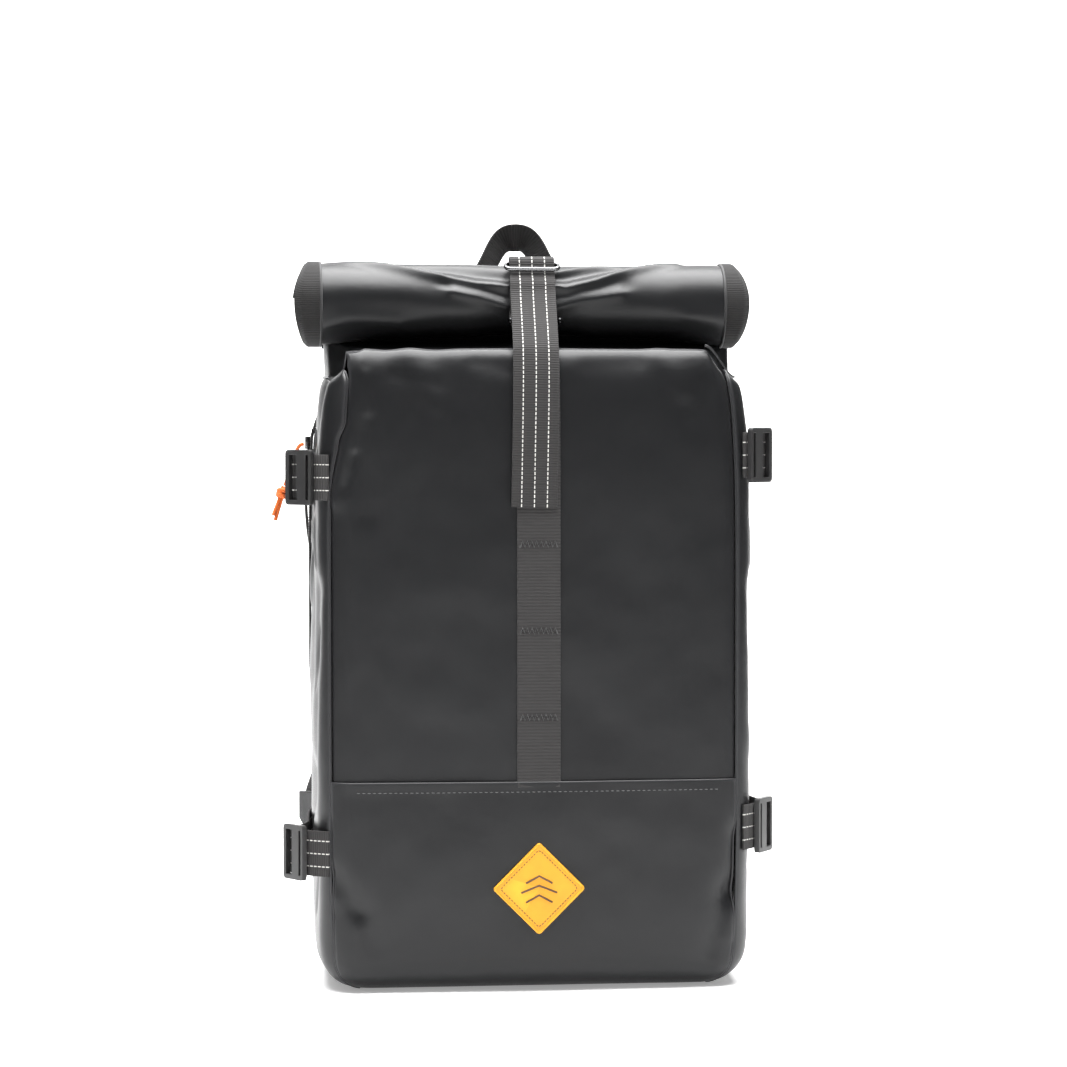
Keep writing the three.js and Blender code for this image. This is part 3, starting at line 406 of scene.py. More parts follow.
def makeWebbing(name, threads, rib=None, tint=1.0):  # threads: reflective dashes in three rows
    material, tree, shader = newMaterial(name, Sheen_Weight=0.1, Sheen_Roughness=0.5, Specular_IOR_Level=0.3)
    along, across = pieceUv(tree)
    ribs = ripple(tree, along, rib or webbingLook["rib"])
    slant = calc(tree, "ADD", calc(tree, "MULTIPLY", ribs, 0.0004), across)
    yarns = ripple(tree, slant, webbingLook["yarn"])
    height = blend(tree, yarns, 0.35, ribs, 0.65)
    broad = surfaceNoise(tree, 60, 3)
    # darker in the grooves between ribs and yarns and paler on their tops, painted shade, with a random broad
    # tone mixed in
    colour = mixColour(tree, blend(tree, height, 0.6, broad, 0.3), tinted(webbingLook["colour"], tint),
                       tinted(webbingLook["high"], tint))
    layers = [(height, 0.7, 0.0006), (surfaceNoise(tree, 900, 2), 0.25, 0.0002)]
    if threads:
        offMiddle = calc(tree, "SUBTRACT", across, webbingLook["halfWidth"])
        middle = calc(tree, "DIVIDE", offMiddle, webbingLook["rowPitch"])
        near = calc(tree, "ABSOLUTE", calc(tree, "SUBTRACT", middle, calc(tree, "ROUND", middle)))
        row = calc(tree, "LESS_THAN", near, webbingLook["rowWidth"])
        inside = calc(tree, "LESS_THAN", calc(tree, "ABSOLUTE", middle), 1.4)
        beat = calc(tree, "FRACT", calc(tree, "DIVIDE", along, webbingLook["dash"]))
        dash = calc(tree, "LESS_THAN", beat, 0.68)
        stitch = calc(tree, "MULTIPLY", calc(tree, "MULTIPLY", row, inside), dash)
        colour = mixColour(tree, stitch, colour, webbingLook["thread"])
        layers.append((stitch, 0.6, 0.0004))
    dressShader(tree, shader, colour, fromRange(tree, broad, 0.72, 0.9), layers)
    return material


def makePadding():
    material, tree, shader = newMaterial("padding_cloth", Sheen_Weight=0.06, Sheen_Roughness=0.6,
                                         Specular_IOR_Level=0.25)
    place = addNode(tree, "ShaderNodeTexCoord").outputs["Object"]
    cells = addNode(tree, "ShaderNodeTexVoronoi", {"Vector": place, "Scale": 420.0}).outputs["Distance"]
    broad = surfaceNoise(tree, 30, 4)
    # darker in the hollow cells and paler on their rims, painted shade, with a random broad tone mixed in
    shade = blend(tree, cells, 0.7, broad, 0.3)
    colour = mixColour(tree, shade, (0.006, 0.006, 0.0065, 1), (0.021, 0.021, 0.0225, 1))
    dressShader(tree, shader, colour, fromRange(tree, broad, 0.78, 0.95),
                [(cells, 0.6, 0.0006), (surfaceNoise(tree, 70, 2), 0.3, 0.001)])
    return material


def makePlastic():
    material, tree, shader = newMaterial("black_plastic", Specular_IOR_Level=0.5, Coat_Weight=0.05)
    grain = surfaceNoise(tree, 1500, 2)
    broad = surfaceNoise(tree, 70, 3)
    base = mixColour(tree, broad, (0.016, 0.016, 0.0165, 1), (0.028, 0.0275, 0.0275, 1))
    colour = wornColour(tree, base, (0.12, 0.12, 0.12, 1), 0.53, 0.65, 0.4)
    dressShader(tree, shader, colour, fromRange(tree, broad, 0.36, 0.52), [(grain, 0.3, 0.0001)])
    return material


def makeSteel(name, low, high):
    material, tree, shader = newMaterial(name, Metallic=1.0, Coat_Weight=0.1)
    scuffs = surfaceNoise(tree, 240, 5, 0.65)
    broad = surfaceNoise(tree, 50, 2)
    dressShader(tree, shader, mixColour(tree, broad, low, high), fromRange(tree, scuffs, 0.16, 0.36),
                [(scuffs, 0.12, 0.0002)])
    return material


def makeOrangeCord():
    material, tree, shader = newMaterial("orange_cord", Sheen_Weight=0.2, Specular_IOR_Level=0.35)
    along, across = pieceUv(tree)
    left = ripple(tree, calc(tree, "ADD", along, across), 0.0017)
    right = ripple(tree, calc(tree, "SUBTRACT", along, across), 0.0017)
    braid = calc(tree, "MAXIMUM", left, right)
    broad = surfaceNoise(tree, 150, 3)
    # darker in the grooves between the braid's strands and paler on them, painted shade, with a random broad
    # tone mixed in
    shade = blend(tree, braid, 0.6, broad, 0.4)
    colour = mixColour(tree, shade, (0.62, 0.03, 0.008, 1), (0.95, 0.24, 0.03, 1))
    dressShader(tree, shader, colour, fromRange(tree, broad, 0.5, 0.75), [(braid, 0.7, 0.0005)])
    return material


def makeRubber(name, low, high):
    material, tree, shader = newMaterial(name, Specular_IOR_Level=0.4)
    broad = surfaceNoise(tree, 60, 4)
    fine = surfaceNoise(tree, 1100, 2)
    colour = wornColour(tree, mixColour(tree, broad, low, high), tinted(high, 1.6), 0.52, 0.62, 0.4)
    dressShader(tree, shader, colour, fromRange(tree, broad, 0.42, 0.62), [(fine, 0.3, 0.00015)])
    return material


def makeThread(name, colour):
    material, tree, shader = newMaterial(name, Sheen_Weight=0.2)
    broad = surfaceNoise(tree, 800, 2)
    dressShader(tree, shader, mixColour(tree, broad, tinted(colour, 0.6), tinted(colour, 1)),
                fromRange(tree, broad, 0.5, 0.8), [(broad, 0.4, 0.0002)])
    return material


coatedFabric = makeCoatedFabric()
webbing = makeWebbing("webbing", False)
stitchedWebbing = makeWebbing("stitched_webbing", True)
ribbedWebbing = makeWebbing("ribbed_webbing", False, 0.0027, 1.15)
bindingWebbing = makeWebbing("binding_webbing", False, 0.0016, 0.45)
paddingCloth = makePadding()
blackPlastic = makePlastic()
steel = makeSteel("steel", (0.12, 0.12, 0.123, 1), (0.24, 0.24, 0.245, 1))
darkSteel = makeSteel("dark_steel", (0.014, 0.014, 0.015, 1), (0.035, 0.035, 0.036, 1))
orangeCord = makeOrangeCord()
patchFace = makeRubber("patch_face", (0.62, 0.26, 0.012, 1), (0.80, 0.37, 0.02, 1))
patchDark = makeRubber("patch_mark", (0.05, 0.026, 0.012, 1), (0.09, 0.045, 0.02, 1))
darkThread = makeThread("dark_thread", (0.02, 0.02, 0.021))
greyThread = makeThread("grey_thread", (0.09, 0.09, 0.092))
print("materials made")


# The orange pull and the cord it hangs from

pull = dict(
    route=[(-190.3, 52.4, 457), (-194, 52.4, 456.4), (-197.5, 52.5, 450), (-200.5, 52.6, 441),
           (-203.5, 52.8, 431), (-207, 53, 420.5)],
    diameter=3.2, knotRadius=6,
)


def makePull():
    line = spaceEvenly(roundCorners([list(point) for point in pull["route"]], 3), 1.4)
    points = [Vector(row) for row in line]
    knot = makeKnot(points)
    cord = addPiece(tubeShape(points, pull["diameter"] / 2, 14), "zip_pull_cord_braid", orangeCord,
                    ["zip_pull_cord"])


def makeKnot(points):
    end = points[-1]
    along = (points[-1] - points[-2]).normalized()
    side = along.orthogonal().normalized()
    up = along.cross(side)
    size = pull["knotRadius"]
    coils = []
    # two turns of cord round the middle and one crossing them
    for centre, lean, wide in ((0.75, 0.35, 0.62), (1.35, -0.3, 0.6), (1.05, 1.2, 0.56)):
        ring = []
        for i in range(28):
            angle = 2 * math.pi * i / 28
            reach = size * wide
            drift = math.sin(angle) * lean * size * 0.5
            ring.append(end + side * (reach * math.cos(angle)) + up * (reach * math.sin(angle))
                        + along * (centre * size + drift))
        coils.append(tubeShape(ring, size * 0.34, 12, closed=True))
    core = [end + along * (share * size) for share in (0.1, 0.5, 1.0, 1.5, 1.9)]
    coils.append(tubeShape(core, size * 0.5, 12))
    # the two cut ends, which splay a little
    for sway in (-1, 1):
        tail = []
        for i in range(9):
            share = i / 8
            tail.append(end + along * size * lerp(1.5, 4.9 - 0.3 * sway, share)
                        + side * (sway * size * lerp(0.18, 0.3, share * share)) + up * (sway * 0.06 * size))
        coils.append(tubeShape(tail, lambda share: size * lerp(0.25, 0.3, share), 12))
    return addPiece(mergeShapes(coils), "zip_pull_knot_tied", orangeCord, ["zip_pull_knot"])


makePull()
print("cord made")


# The bag's outer form, as level cuts: level, dip, width, front and back

bag = dict(
    shoulder=540, halfWidth=180, halfDepth=95, wall=2, lapGap=0.3, seamGap=0.5, baseRound=30, cornerRound=26,
    crown=6, bulge=6, frontWidth=340, hem=172, hemLap=12, padding=10, topRoll=3.4,
    levels=[
        (30 / 540, 0, 0.985, 0.975, 0.99), (0.14, 0, 0.995, 1, 1), (0.3, 0, 1, 1, 1), (0.55, 0, 1, 0.995, 1),
        (0.78, 0, 1, 0.985, 1), (0.88, 0, 0.985, 0.97, 1), (0.945, 0.012, 0.965, 0.94, 1),
        (0.982, 0.036, 0.95, 0.89, 0.99), (1, 0.048, 0.935, 0.8, 0.95),
    ],
    # the square left corner: the level it starts at, how proud it is, and the share of the dip taken back;
    # and how far the top edge lifts as it rolls in
    proudFrom=9, proud=2.5, squareShare=0.92, edgeLift=2.4,
    gridSteps=dict(front=2.3, gusset=2.8, back=3.4),
    collar=(1.001, 0.045, 0.93, 0.5, 0.75),
)


def realRow(level, dip, width, front, back):
    tall, wide, deep = bag["shoulder"], bag["halfWidth"], bag["halfDepth"]
    return (level * tall, dip * tall, width * wide, front * deep, back * deep, bag["cornerRound"])


def baseRow(angle):
    foot = realRow(*bag["levels"][0])
    inset = bag["baseRound"] * (1 - math.sin(math.radians(angle)))
    height = bag["baseRound"] * (1 - math.cos(math.radians(angle)))
    corner = max(bag["cornerRound"] - inset * 0.5, 4)
    return (height, 0, foot[2] - inset, foot[3] - inset, foot[4] - inset, corner)


wallRows = [baseRow(angle) for angle in (0, 22.5, 45, 67.5)] + [realRow(*row) for row in bag["levels"]]
wallTop = len(wallRows) - 1
rowSteps = 8  # fine rows between two of the table


def mixRow(rows, place):
    low = min(max(int(place), 0), len(rows) - 2)
    share = place - low
    return tuple(a + (b - a) * share for a, b in zip(rows[low], rows[low + 1]))


def softRow(index):  # the mean of the rows round a place, so that the wall has no kinks
    place = index / rowSteps
    reach = min(0.45, place, wallTop - place)
    near = [mixRow(wallRows, place + shift * reach) for shift in (-1, -0.5, 0, 0.5, 1)]
    return tuple(sum(part) / 5 for part in zip(*near))


fineRows = [softRow(index) for index in range(wallTop * rowSteps + 1)]


def outlinePoint(row, s):  # s counts eight stretches from the left end of the front
    height, dip, width, front, back, corner = row
    s = s % 8
    stretch = int(s)
    t = s - stretch
    right, rear, fore = width - corner, back - corner, corner - front
    if stretch % 2:
        turn = math.radians((stretch - 1) * 45 - 90 + 90 * t)
        x = (right if stretch in (1, 3) else -right) + corner * math.cos(turn)
        y = (fore if stretch in (1, 7) else rear) + corner * math.sin(turn)
    elif stretch in (0, 4):
        x = lerp(-right, right, t if stretch == 0 else 1 - t)
        y = -front if stretch == 0 else back
    else:
        x = width if stretch == 2 else -width
        y = lerp(fore, rear, t if stretch == 2 else 1 - t)
    across = x / width
    along = (y - (back - front) / 2) / ((back + front) / 2)
    sideways = smooth(abs(x), right, width)
    lift = clamp(height / bag["baseRound"])
    crown = bag["crown"] * (1 - across * across) * along * along * lift if along < 0 else 0
    bulge = math.copysign(bag["bulge"] * (1 - along * along) * across * across * lift, x)
    return Vector((x + bulge, y - crown, height - dip * sideways))


def bodyPoint(s, place):
    return outlinePoint(mixRow(fineRows, place * rowSteps), s)


def bodyNormal(s, place):
    low, high = max(place - 0.12, 0), min(place + 0.12, wallTop)
    along = bodyPoint(s + 0.02, place) - bodyPoint(s - 0.02, place)
    up = bodyPoint(s, high) - bodyPoint(s, low)
    return along.cross(up).normalized()


stretchRuns = [308, 40.8, 138, 40.8] * 2  # length of each stretch of the outline


def runOfOutline(s):
    whole = int(s // 1)
    return sum(stretchRuns[i % 8] for i in range(whole)) + (s - whole) * stretchRuns[whole % 8]


def outlineOfRun(run):
    s = 0
    while run > stretchRuns[s % 8]:
        run -= stretchRuns[s % 8]
        s += 1
    return s + run / stretchRuns[s % 8]


levelRuns = [0]
for lowRow, highRow in zip(wallRows, wallRows[1:]):
    levelRuns.append(levelRuns[-1] + math.hypot(highRow[0] - lowRow[0], highRow[3] - lowRow[3]))


wallHeights = [row[0] for row in wallRows]


def levelOf(value, marks):
    low = 0
    while low < wallTop - 1 and marks[low + 1] < value:
        low += 1
    return low + (value - marks[low]) / (marks[low + 1] - marks[low])


def levelOfRun(run):
    return levelOf(run, levelRuns)


def levelOfHeight(height):
    return levelOf(height, wallHeights)


def runOfLevel(place):
    low = min(int(place), wallTop - 1)
    return lerp(levelRuns[low], levelRuns[low + 1], place - low)


seamSine = (bag["frontWidth"] / 2 - (bag["halfWidth"] - bag["cornerRound"])) / bag["cornerRound"]
frontSeam = math.asin(seamSine) / (math.pi / 2)
seamStep = bag["seamGap"] / (bag["cornerRound"] * math.pi / 2)
# the front seams wander: level, then how far round its corner each lies
seamWander = [(0, 0.46, 0.36), (4, 0.48, 0.36), (7.2, 0.5, 0.35), (8, 0.5, 0.35), (8.7, 0.36, 0.35),
              (9.1, 0.24, 0.36), (10, 0.26, 0.38), (11, 0.37, 0.41), (12, 0.47, 0.42)]


def seamAt(level, column):
    for low, high in zip(seamWander, seamWander[1:]):
        if level <= high[0]:
            return lerp(low[column], high[column], smooth(level, low[0], high[0]))
    return seamWander[-1][column]


def leftSeam(level):
    return 8 - seamAt(level, 1)


def rightSeam(level):
    return 1 + seamAt(level, 2)


# Creases: the place along the panel and up it, as shares, at both ends; width and depth in millimetres

frontFolds = [
    ((-0.9, -0.84), (0.86, 0.74), 10, 1.6), ((-0.93, -1), (0.86, 0.76), 8, -1.6),
    ((-0.74, -0.62), (0.985, 0.9), 15, 2.0), ((-0.5, -0.38), (0.985, 0.93), 17, 1.6),
    ((-0.62, -0.5), (0.99, 0.91), 11, -1.0), ((0.9, 0.78), (0.97, 0.9), 15.6, 2.4),
    ((-1, -0.88), (0.18, 0.13), 10, 2.2), ((-0.88, -0.8), (0.13, 0.07), 12, 1.8),
    ((-0.98, -0.9), (0.12, 0.06), 9, 1.2),
    ((1, 0.95), (0.235, 0.15), 11, 3.4), ((0.95, 0.87), (0.15, 0.06), 12, 3.6),
    ((0.99, 0.94), (0.13, 0.08), 7, -1.6),
]
frontWrinkles = [  # finer ones beside them
    ((-0.84, -0.83), (0.955, 0.9), 5, -1.2), ((-0.9, -0.94), (0.83, 0.78), 4.0, 1.6),
    ((-0.3, -0.12), (0.975, 0.962), 9, 1.4), ((0.25, 0.5), (0.968, 0.975), 10, 1.6),
    ((0.6, 0.72), (0.985, 0.93), 9, -0.9),
    ((-0.7, -0.5), (0.955, 0.94), 7, 0.9), ((0.05, 0.4), (0.93, 0.94), 16, 0.8),
]
gussetFolds = [
    ((-0.5, 0.1), (0.93, 0.7), 15.6, 5.6), ((0.2, -0.1), (0.9, 0.5), 23.4, 4.9),
    ((-0.3, 0.4), (0.32, 0.14), 18.2, 4.9), ((-0.7, -0.5), (0.62, 0.3), 13, 2.8),
]
gussetWrinkles = [
    ((-0.62, -0.5), (0.84, 0.74), 4, 1.6), ((-0.45, -0.62), (0.77, 0.66), 4.5, -1.6),
    ((-0.7, -0.45), (0.56, 0.47), 5, 1.4), ((-0.75, -0.55), (0.2, 0.12), 4, 1.4),
    ((0.1, 0.35), (0.8, 0.6), 6, -1.5), ((0.3, 0.55), (0.45, 0.3), 6, 1.5),
]


def creaseDepth(folds, half, x, height):
    depth = 0
    for across, up, wide, deep in folds:
        startX, startZ = across[0] * half, up[0] * bag["shoulder"]
        wayX, wayZ = across[1] * half - startX, up[1] * bag["shoulder"] - startZ
        share = clamp(((x - startX) * wayX + (height - startZ) * wayZ) / (wayX * wayX + wayZ * wayZ))
        away = math.hypot(x - startX - wayX * share, height - startZ - wayZ * share) / wide
        if away < 3:
            depth += deep * math.exp(-away * away)
    return depth


def slackCloth(point, size=1.0):  # slow unevenness of cloth that nothing stretches
    slow = noise.noise(point * 0.013) * 1.5
    quick = noise.noise(point * 0.034 + Vector((7, 3, 1))) * 0.55
    return (slow + quick) * size


def edgeFade(u, v, wide, long, reach=16):
    return smooth(min(u, 1 - u) * wide, 0, reach) * smooth(min(v, 1 - v) * long, 0, reach)


def panelShape(startS, endS, lowRun, highRun, inset, relief, step, corner=None):
    # startS and endS give the two seams at a level
    middle = levelOfRun((lowRun + highRun) / 2)
    wide, long = runOfOutline(endS(middle)) - runOfOutline(startS(middle)), highRun - lowRun

    def place(u, v):
        level = levelOfRun(lowRun + long * v)
        startRun, endRun = runOfOutline(startS(level)), runOfOutline(endS(level))
        s = outlineOfRun(lerp(startRun, endRun, u))
        point = bodyPoint(s, level)
        depth = inset + relief(point, u, v, wide, long)
        point = point - bodyNormal(s, level) * depth
        return corner(point, level) if corner else point

    shape = wrapGrid(round(wide / step), round(long / step), place, (wide, long))
    faceOutwards(shape, lambda spot: Vector((0, 0, spot.z)))
    return shape


def frontRelief(point, u, v, wide, long):
    main = creaseDepth(frontFolds, bag["frontWidth"] / 2, point.x, point.z)
    fine = creaseDepth(frontWrinkles, bag["frontWidth"] / 2, point.x, point.z)
    return main + fine + slackCloth(point, 0.8) * edgeFade(u, v, wide, long)


def gussetRelief(point, u, v, wide, long):
    main = creaseDepth(gussetFolds, bag["halfDepth"], point.y, point.z)
    fine = creaseDepth(gussetWrinkles, bag["halfDepth"], point.y, point.z)
    return main + (fine + slackCloth(point, 1.2)) * edgeFade(u, v, wide, long)


backQuilt = dict(groove=26, depth=4.5, edge=15, edgeDepth=5)


def backRelief(point, u, v, wide, long):  # two long pads with a channel between them
    channel = math.exp(-(point.x / backQuilt["groove"]) ** 2) * backQuilt["depth"]
    side = min(u, 1 - u) * wide
    top = min(v, 1 - v) * long
    rim = math.exp(-(side / backQuilt["edge"]) ** 2) + math.exp(-(top / backQuilt["edge"]) ** 2)
    crossed = sum(math.exp(-((point.z - level) / 9) ** 2) for level in (170, 300, 420)) * 1.6
    return channel + min(rim, 1) * backQuilt["edgeDepth"] * 0.5 + crossed + slackCloth(point, 0.5) - 0.4


def cornerDrop(point, level):  # how far the shoulder dips at a point of the front's left corner
    if point.x > 0 or level < bag["proudFrom"]:
        return 0
    row = mixRow(fineRows, level * rowSteps)
    return row[1] * smooth(abs(point.x), row[2] - row[5], row[2])


def proudCorner(point, level):  # the left corner stays square over the gusset, and the top edge rolls inwards
    near = smooth(-point.x, 110, 145) * smooth(level, bag["proudFrom"], 11)
    drop = cornerDrop(point, level)
    over = smooth(point.z + drop, bag["shoulder"] - 12, bag["shoulder"]) ** 2
    forward = bag["topRoll"] * over - bag["proud"] * near
    return point + Vector((0, forward, bag["squareShare"] * drop + bag["edgeLift"] * over))


def addCloth(shape, name, node):
    addPiece(shape, name, coatedFabric, [node], wall=bag["wall"])


def makePanels():
    top = runOfLevel(levelOfHeight(bag["shoulder"] - bag["wall"] - bag["seamGap"]))
    hem = runOfLevel(levelOfHeight(bag["hem"]))
    upperStart = hem - bag["hemLap"]
    inset = bag["wall"] + bag["lapGap"]
    steps = bag["gridSteps"]

    def startS(level):
        return leftSeam(level) + seamStep

    def endS(level):
        return 8 + rightSeam(level) - seamStep

    upper = panelShape(startS, endS, upperStart, top, inset, frontRelief, steps["front"], proudCorner)
    addCloth(upper, "front_panel_cloth", "front_panel")
    lower = panelShape(startS, endS, 0, hem, 0, frontRelief, steps["front"])
    addCloth(lower, "lower_front_cloth", "lower_front_panel")
    sides = (("right", lambda level: rightSeam(level) + seamStep, lambda level: 3.5 - seamStep),
             ("left", lambda level: 5.5 + seamStep, lambda level: leftSeam(level) - seamStep))
    for name, start, end in sides:
        side = panelShape(start, end, 0, top, 0, gussetRelief, steps["gusset"])
        addCloth(side, "side_gusset_cloth_" + name, "side_gusset_" + name)
    backTop = runOfLevel(levelOfHeight(bag["shoulder"] - bag["seamGap"]))
    back = panelShape(lambda level: 3.5 + 2 * seamStep, lambda level: 5.5 - 2 * seamStep, 0, backTop, 0,
                      backRelief, steps["back"])
    pad = addPiece(back, "back_pad", paddingCloth, ["back_panel"], wall=bag["padding"])


def makeBase():
    flat = mixRow(fineRows, 0)

    def place(u, v):
        rim = outlinePoint(flat, 8 * u)
        return Vector((rim.x * (1 - 0.003) * v, rim.y * (1 - 0.005) * v, 0.6 * (1 - v) + 0.05))

    shape = wrapGrid(160, 30, place, (900, 150), joined=True)
    faceOutwards(shape, lambda spot: Vector((spot.x, spot.y, 1)))
    addCloth(shape, "base_cloth", "base_panel")


# cloth round the neck: uneven sag, how it turns in behind the panels' edge, and how it falls to the front
neckCloth = dict(sag=1.2, hang=1.0, tuckBack=2, tuckDown=1.4, fall=3.2)


def makeCollar():
    roof = realRow(*bag["collar"])
    neckHalf = roll["neck"]
    rows = [wallRows[wallTop], roof, (bag["shoulder"] + 4, 0, roll["neckFoot"], 14, neckHalf[1], 2)]
    start = bag["seamGap"] / (rows[0][3] - rows[1][3])

    def place(u, v):
        # around in step with the outline's length, and up from the panels' seam to the neck
        s = outlineOfRun(runOfOutline(8) * u) if u < 1 else 0
        level = lerp(start, 2, v)
        point = outlinePoint(mixRow(rows, level), s)
        sag = math.sin(math.pi * clamp((level - start) / (2 - start)))
        unevenness = noise.noise(Vector((point.x * 0.03, point.y * 0.012, 2)))
        folds = unevenness * neckCloth["sag"] - neckCloth["hang"]
        low = 1 - smooth(v, 0, 0.35)
        front = smooth(-point.y, 45, 62) * low
        beyond = 8 - seamAt(wallTop, 1)  # the gusset's seam at the square corner
        square = smooth(s, beyond - 0.03, beyond + 0.03) * low if s > 4 else 0
        lift = bag["squareShare"] * cornerDrop(point, wallTop) * square
        fall = neckCloth["tuckDown"] * front + neckCloth["fall"] * smooth(-point.y, 12, 50)
        back = (bag["topRoll"] + neckCloth["tuckBack"]) * front
        return point + Vector((0, back, folds * sag + lift - fall))

    shape = wrapGrid(260, 36, place, (715, 80), joined=True)
    faceOutwards(shape, lambda spot: Vector((spot.x, spot.y, 0)))
    addCloth(shape, "top_collar_cloth", "top_collar")


# The roll

roll = dict(
    length=386, height=66, depth=70, setback=18, clearance=4, ply=5, pitch=8, endTuck=1, neck=(9.6, 19.4),
    pinch=[(0, 0.9), (0.14, 0.905), (0.3, 0.96), (0.6, 1), (1, 1)],
    tuckStart=250, start=10, end=510, ridgeEnd=330, neckFoot=169, endDroop=4, shift=8,
    # ridges pulled towards the strap: places along the roll and round it, height, width, hollow above it
    ridges=[
        ([(-165, 88), (-130, 106), (-90, 130), (-49, 150), (-22, 158)], 3.6, 6.0, 4.4),
        ([(-64, 166), (-45, 174), (-22, 190)], 2.4, 5.0, 2.2),
        ([(14, 132), (40, 116), (70, 100), (110, 94)], 2.6, 5.5, 2.2),
        ([(14, 158), (30, 160), (57, 146), (86, 124), (130, 98)], 3.8, 6.0, 4.4),
        ([(20, 192), (44, 178), (76, 168)], 2.0, 5.5, 1.4),
        ([(-182, 215), (-150, 205), (-110, 212)], 1.6, 7.0, 0.8),
        ([(180, 205), (140, 200)], 1.4, 7.0, 0.8),
    ],
)
binding = dict(width=16, thickness=1.6, bulge=8, end=290)
rollCentre = Vector((0, -roll["setback"], bag["shoulder"] + roll["clearance"] + roll["height"] / 2))
neckMiddle = rollCentre.y + roll["depth"] / 2 - roll["ply"] / 2


def girthAt(x):
    along = min(abs(x) / (roll["length"] / 2), 1)
    for low, high in zip(roll["pinch"], roll["pinch"][1:]):
        if along <= high[0]:
            share = (along - low[0]) / (high[0] - low[0])
            return lerp(low[1], high[1], share * share * (3 - 2 * share))
    return 1


def rollPoint(x, angle, offset):  # angle 0 is the roll's back, 90 its top, 180 its front
    girth = girthAt(x)
    lift = roll["height"] / 2 * (1 - girth) * 0.6
    turn = math.radians(angle)
    y = rollCentre.y + (roll["depth"] / 2 * girth + offset) * math.cos(turn)
    z = rollCentre.z + lift + (roll["height"] / 2 * girth + offset) * math.sin(turn)
    droop = roll["endDroop"] * smooth(abs(x), 120, 176) * smooth(-math.sin(turn), -0.2, 0.9)
    return Vector((x, y, z - droop))


def offCentre(point):  # the roll reaches a little further to the left
    return point - Vector((roll["shift"] * abs(point.x) * 2 / roll["length"], 0, 0))


def windingInset(angle):
    if angle < roll["tuckStart"]:
        return 0
    if angle < 360:
        return roll["pitch"] * (angle - roll["tuckStart"]) / (360 - roll["tuckStart"])
    return roll["pitch"] * angle / 360


arcPerDegree = math.pi / 180 * 34  # along the cloth of the roll, at its mean radius


def rollRelief(x, angle):  # how far the cloth stands out of the plain roll
    if angle > roll["ridgeEnd"]:
        return 0
    out = 0
    run = angle * arcPerDegree
    for line, high, wide, hollow in roll["ridges"]:
        best = None
        for (x0, a0), (x1, a1) in zip(line, line[1:]):
            startRun, wayX, wayRun = a0 * arcPerDegree, x1 - x0, (a1 - a0) * arcPerDegree
            share = clamp(((x - x0) * wayX + (run - startRun) * wayRun) / (wayX * wayX + wayRun * wayRun))
            offX, offRun = x - x0 - wayX * share, run - startRun - wayRun * share
            away = math.hypot(offX, offRun)
            if best is None or away < best[0]:
                best = (away, offRun)
        away, below = best
        if away < 6 * wide:
            out += high * math.exp(-(away / wide) ** 2)
            upper = smooth(-below / max(away, 0.01), 0.1, 0.9)
            out -= hollow * upper * math.exp(-((away - 2.1 * wide) / (1.5 * wide)) ** 2)
    slack = noise.noise(Vector((x * 0.016, run * 0.03, 5))) * 1.3
    return (out * smooth(angle, 82, 116) + slack) * smooth(roll["length"] / 2 - abs(x), 8, 30)


def makeRoll():
    neckFoot = bag["shoulder"] - bag["wall"] + 3 * bag["lapGap"]
    half = roll["length"] / 2 - binding["bulge"] - roll["endTuck"]
    neckReach = roll["neckFoot"] / half
    outer = [lerp(roll["start"], roll["ridgeEnd"], i / 150) for i in range(150)]
    outer += [lerp(roll["ridgeEnd"], roll["end"], i / 30) for i in range(31)]
    inner = [lerp(roll["start"], roll["end"], i / 60) for i in range(61)]
    rim = [("neck", neckFoot, roll["ply"] / 2), ("neck", bag["shoulder"] + 1, roll["ply"] / 2)]
    rim += [("turn", angle, 0) for angle in outer]
    rim += [("turn", angle, roll["ply"]) for angle in reversed(inner)]
    rim += [("neck", bag["shoulder"] + 1, -roll["ply"] / 2), ("neck", neckFoot, -roll["ply"] / 2)]
    count = len(rim)

    def place(u, v):
        x = lerp(-half, half, u)
        kind, where, depth = rim[round(v * count) % count]
        if kind == "neck":
            return offCentre(Vector((x * neckReach, neckMiddle + depth, where)))
        return offCentre(rollPoint(x, where, rollRelief(x, where) - windingInset(where) - depth))

    shape = wrapGrid(240, count, place, (2 * half, 500), joined=True, capped=True)
    addPiece(shape, "rolled_top_cloth", coatedFabric, ["rolled_top"])


def makeBindings():
    for name, side in (("left", -1), ("right", 1)):
        near = roll["length"] / 2 - binding["width"] - binding["bulge"] + 3

        def place(u, v):
            angle = lerp(roll["start"], binding["end"], u)
            bulge = binding["bulge"] * math.cos(math.radians(angle)) ** 2
            far = roll["length"] / 2 - binding["bulge"] + bulge
            x = lerp(near, far, v)
            turnIn = 3.6 * smooth(v, 0.6, 1) ** 2
            lift = bag["lapGap"] + binding["thickness"] - windingInset(angle) - turnIn
            point = rollPoint(near, angle, lift)
            return offCentre(Vector((side * x, point.y, point.z)))

        shape = wrapGrid(110, 12, place, (166, binding["width"] + 4))
        faceOutwards(shape, lambda spot: Vector((spot.x, rollCentre.y * mm, rollCentre.z * mm)))
        addPiece(shape, "roll_binding_webbing_" + name, bindingWebbing, ["roll_binding_" + name],
                 wall=binding["thickness"], bevel=0.3)
        piping = []
        for i in range(91):
            angle = lerp(12, binding["end"], i / 90)
            point = rollPoint(side * near, angle, bag["lapGap"] + 0.7 - windingInset(angle))
            piping.append(offCentre(point + Vector((-side * 0.8, 0, 0))))
        addPiece(tubeShape(piping, 1.1, 8), "roll_piping_" + name, darkThread)


makePanels()
makeBase()
makeCollar()
makeRoll()
makeBindings()
print("body and roll made")


# Seams of the body: a narrow welt along each

seams = dict(welt=0.9, topWelt=1.2, backWelt=1.6, pitch=4.4, aboveStitches=3.4)


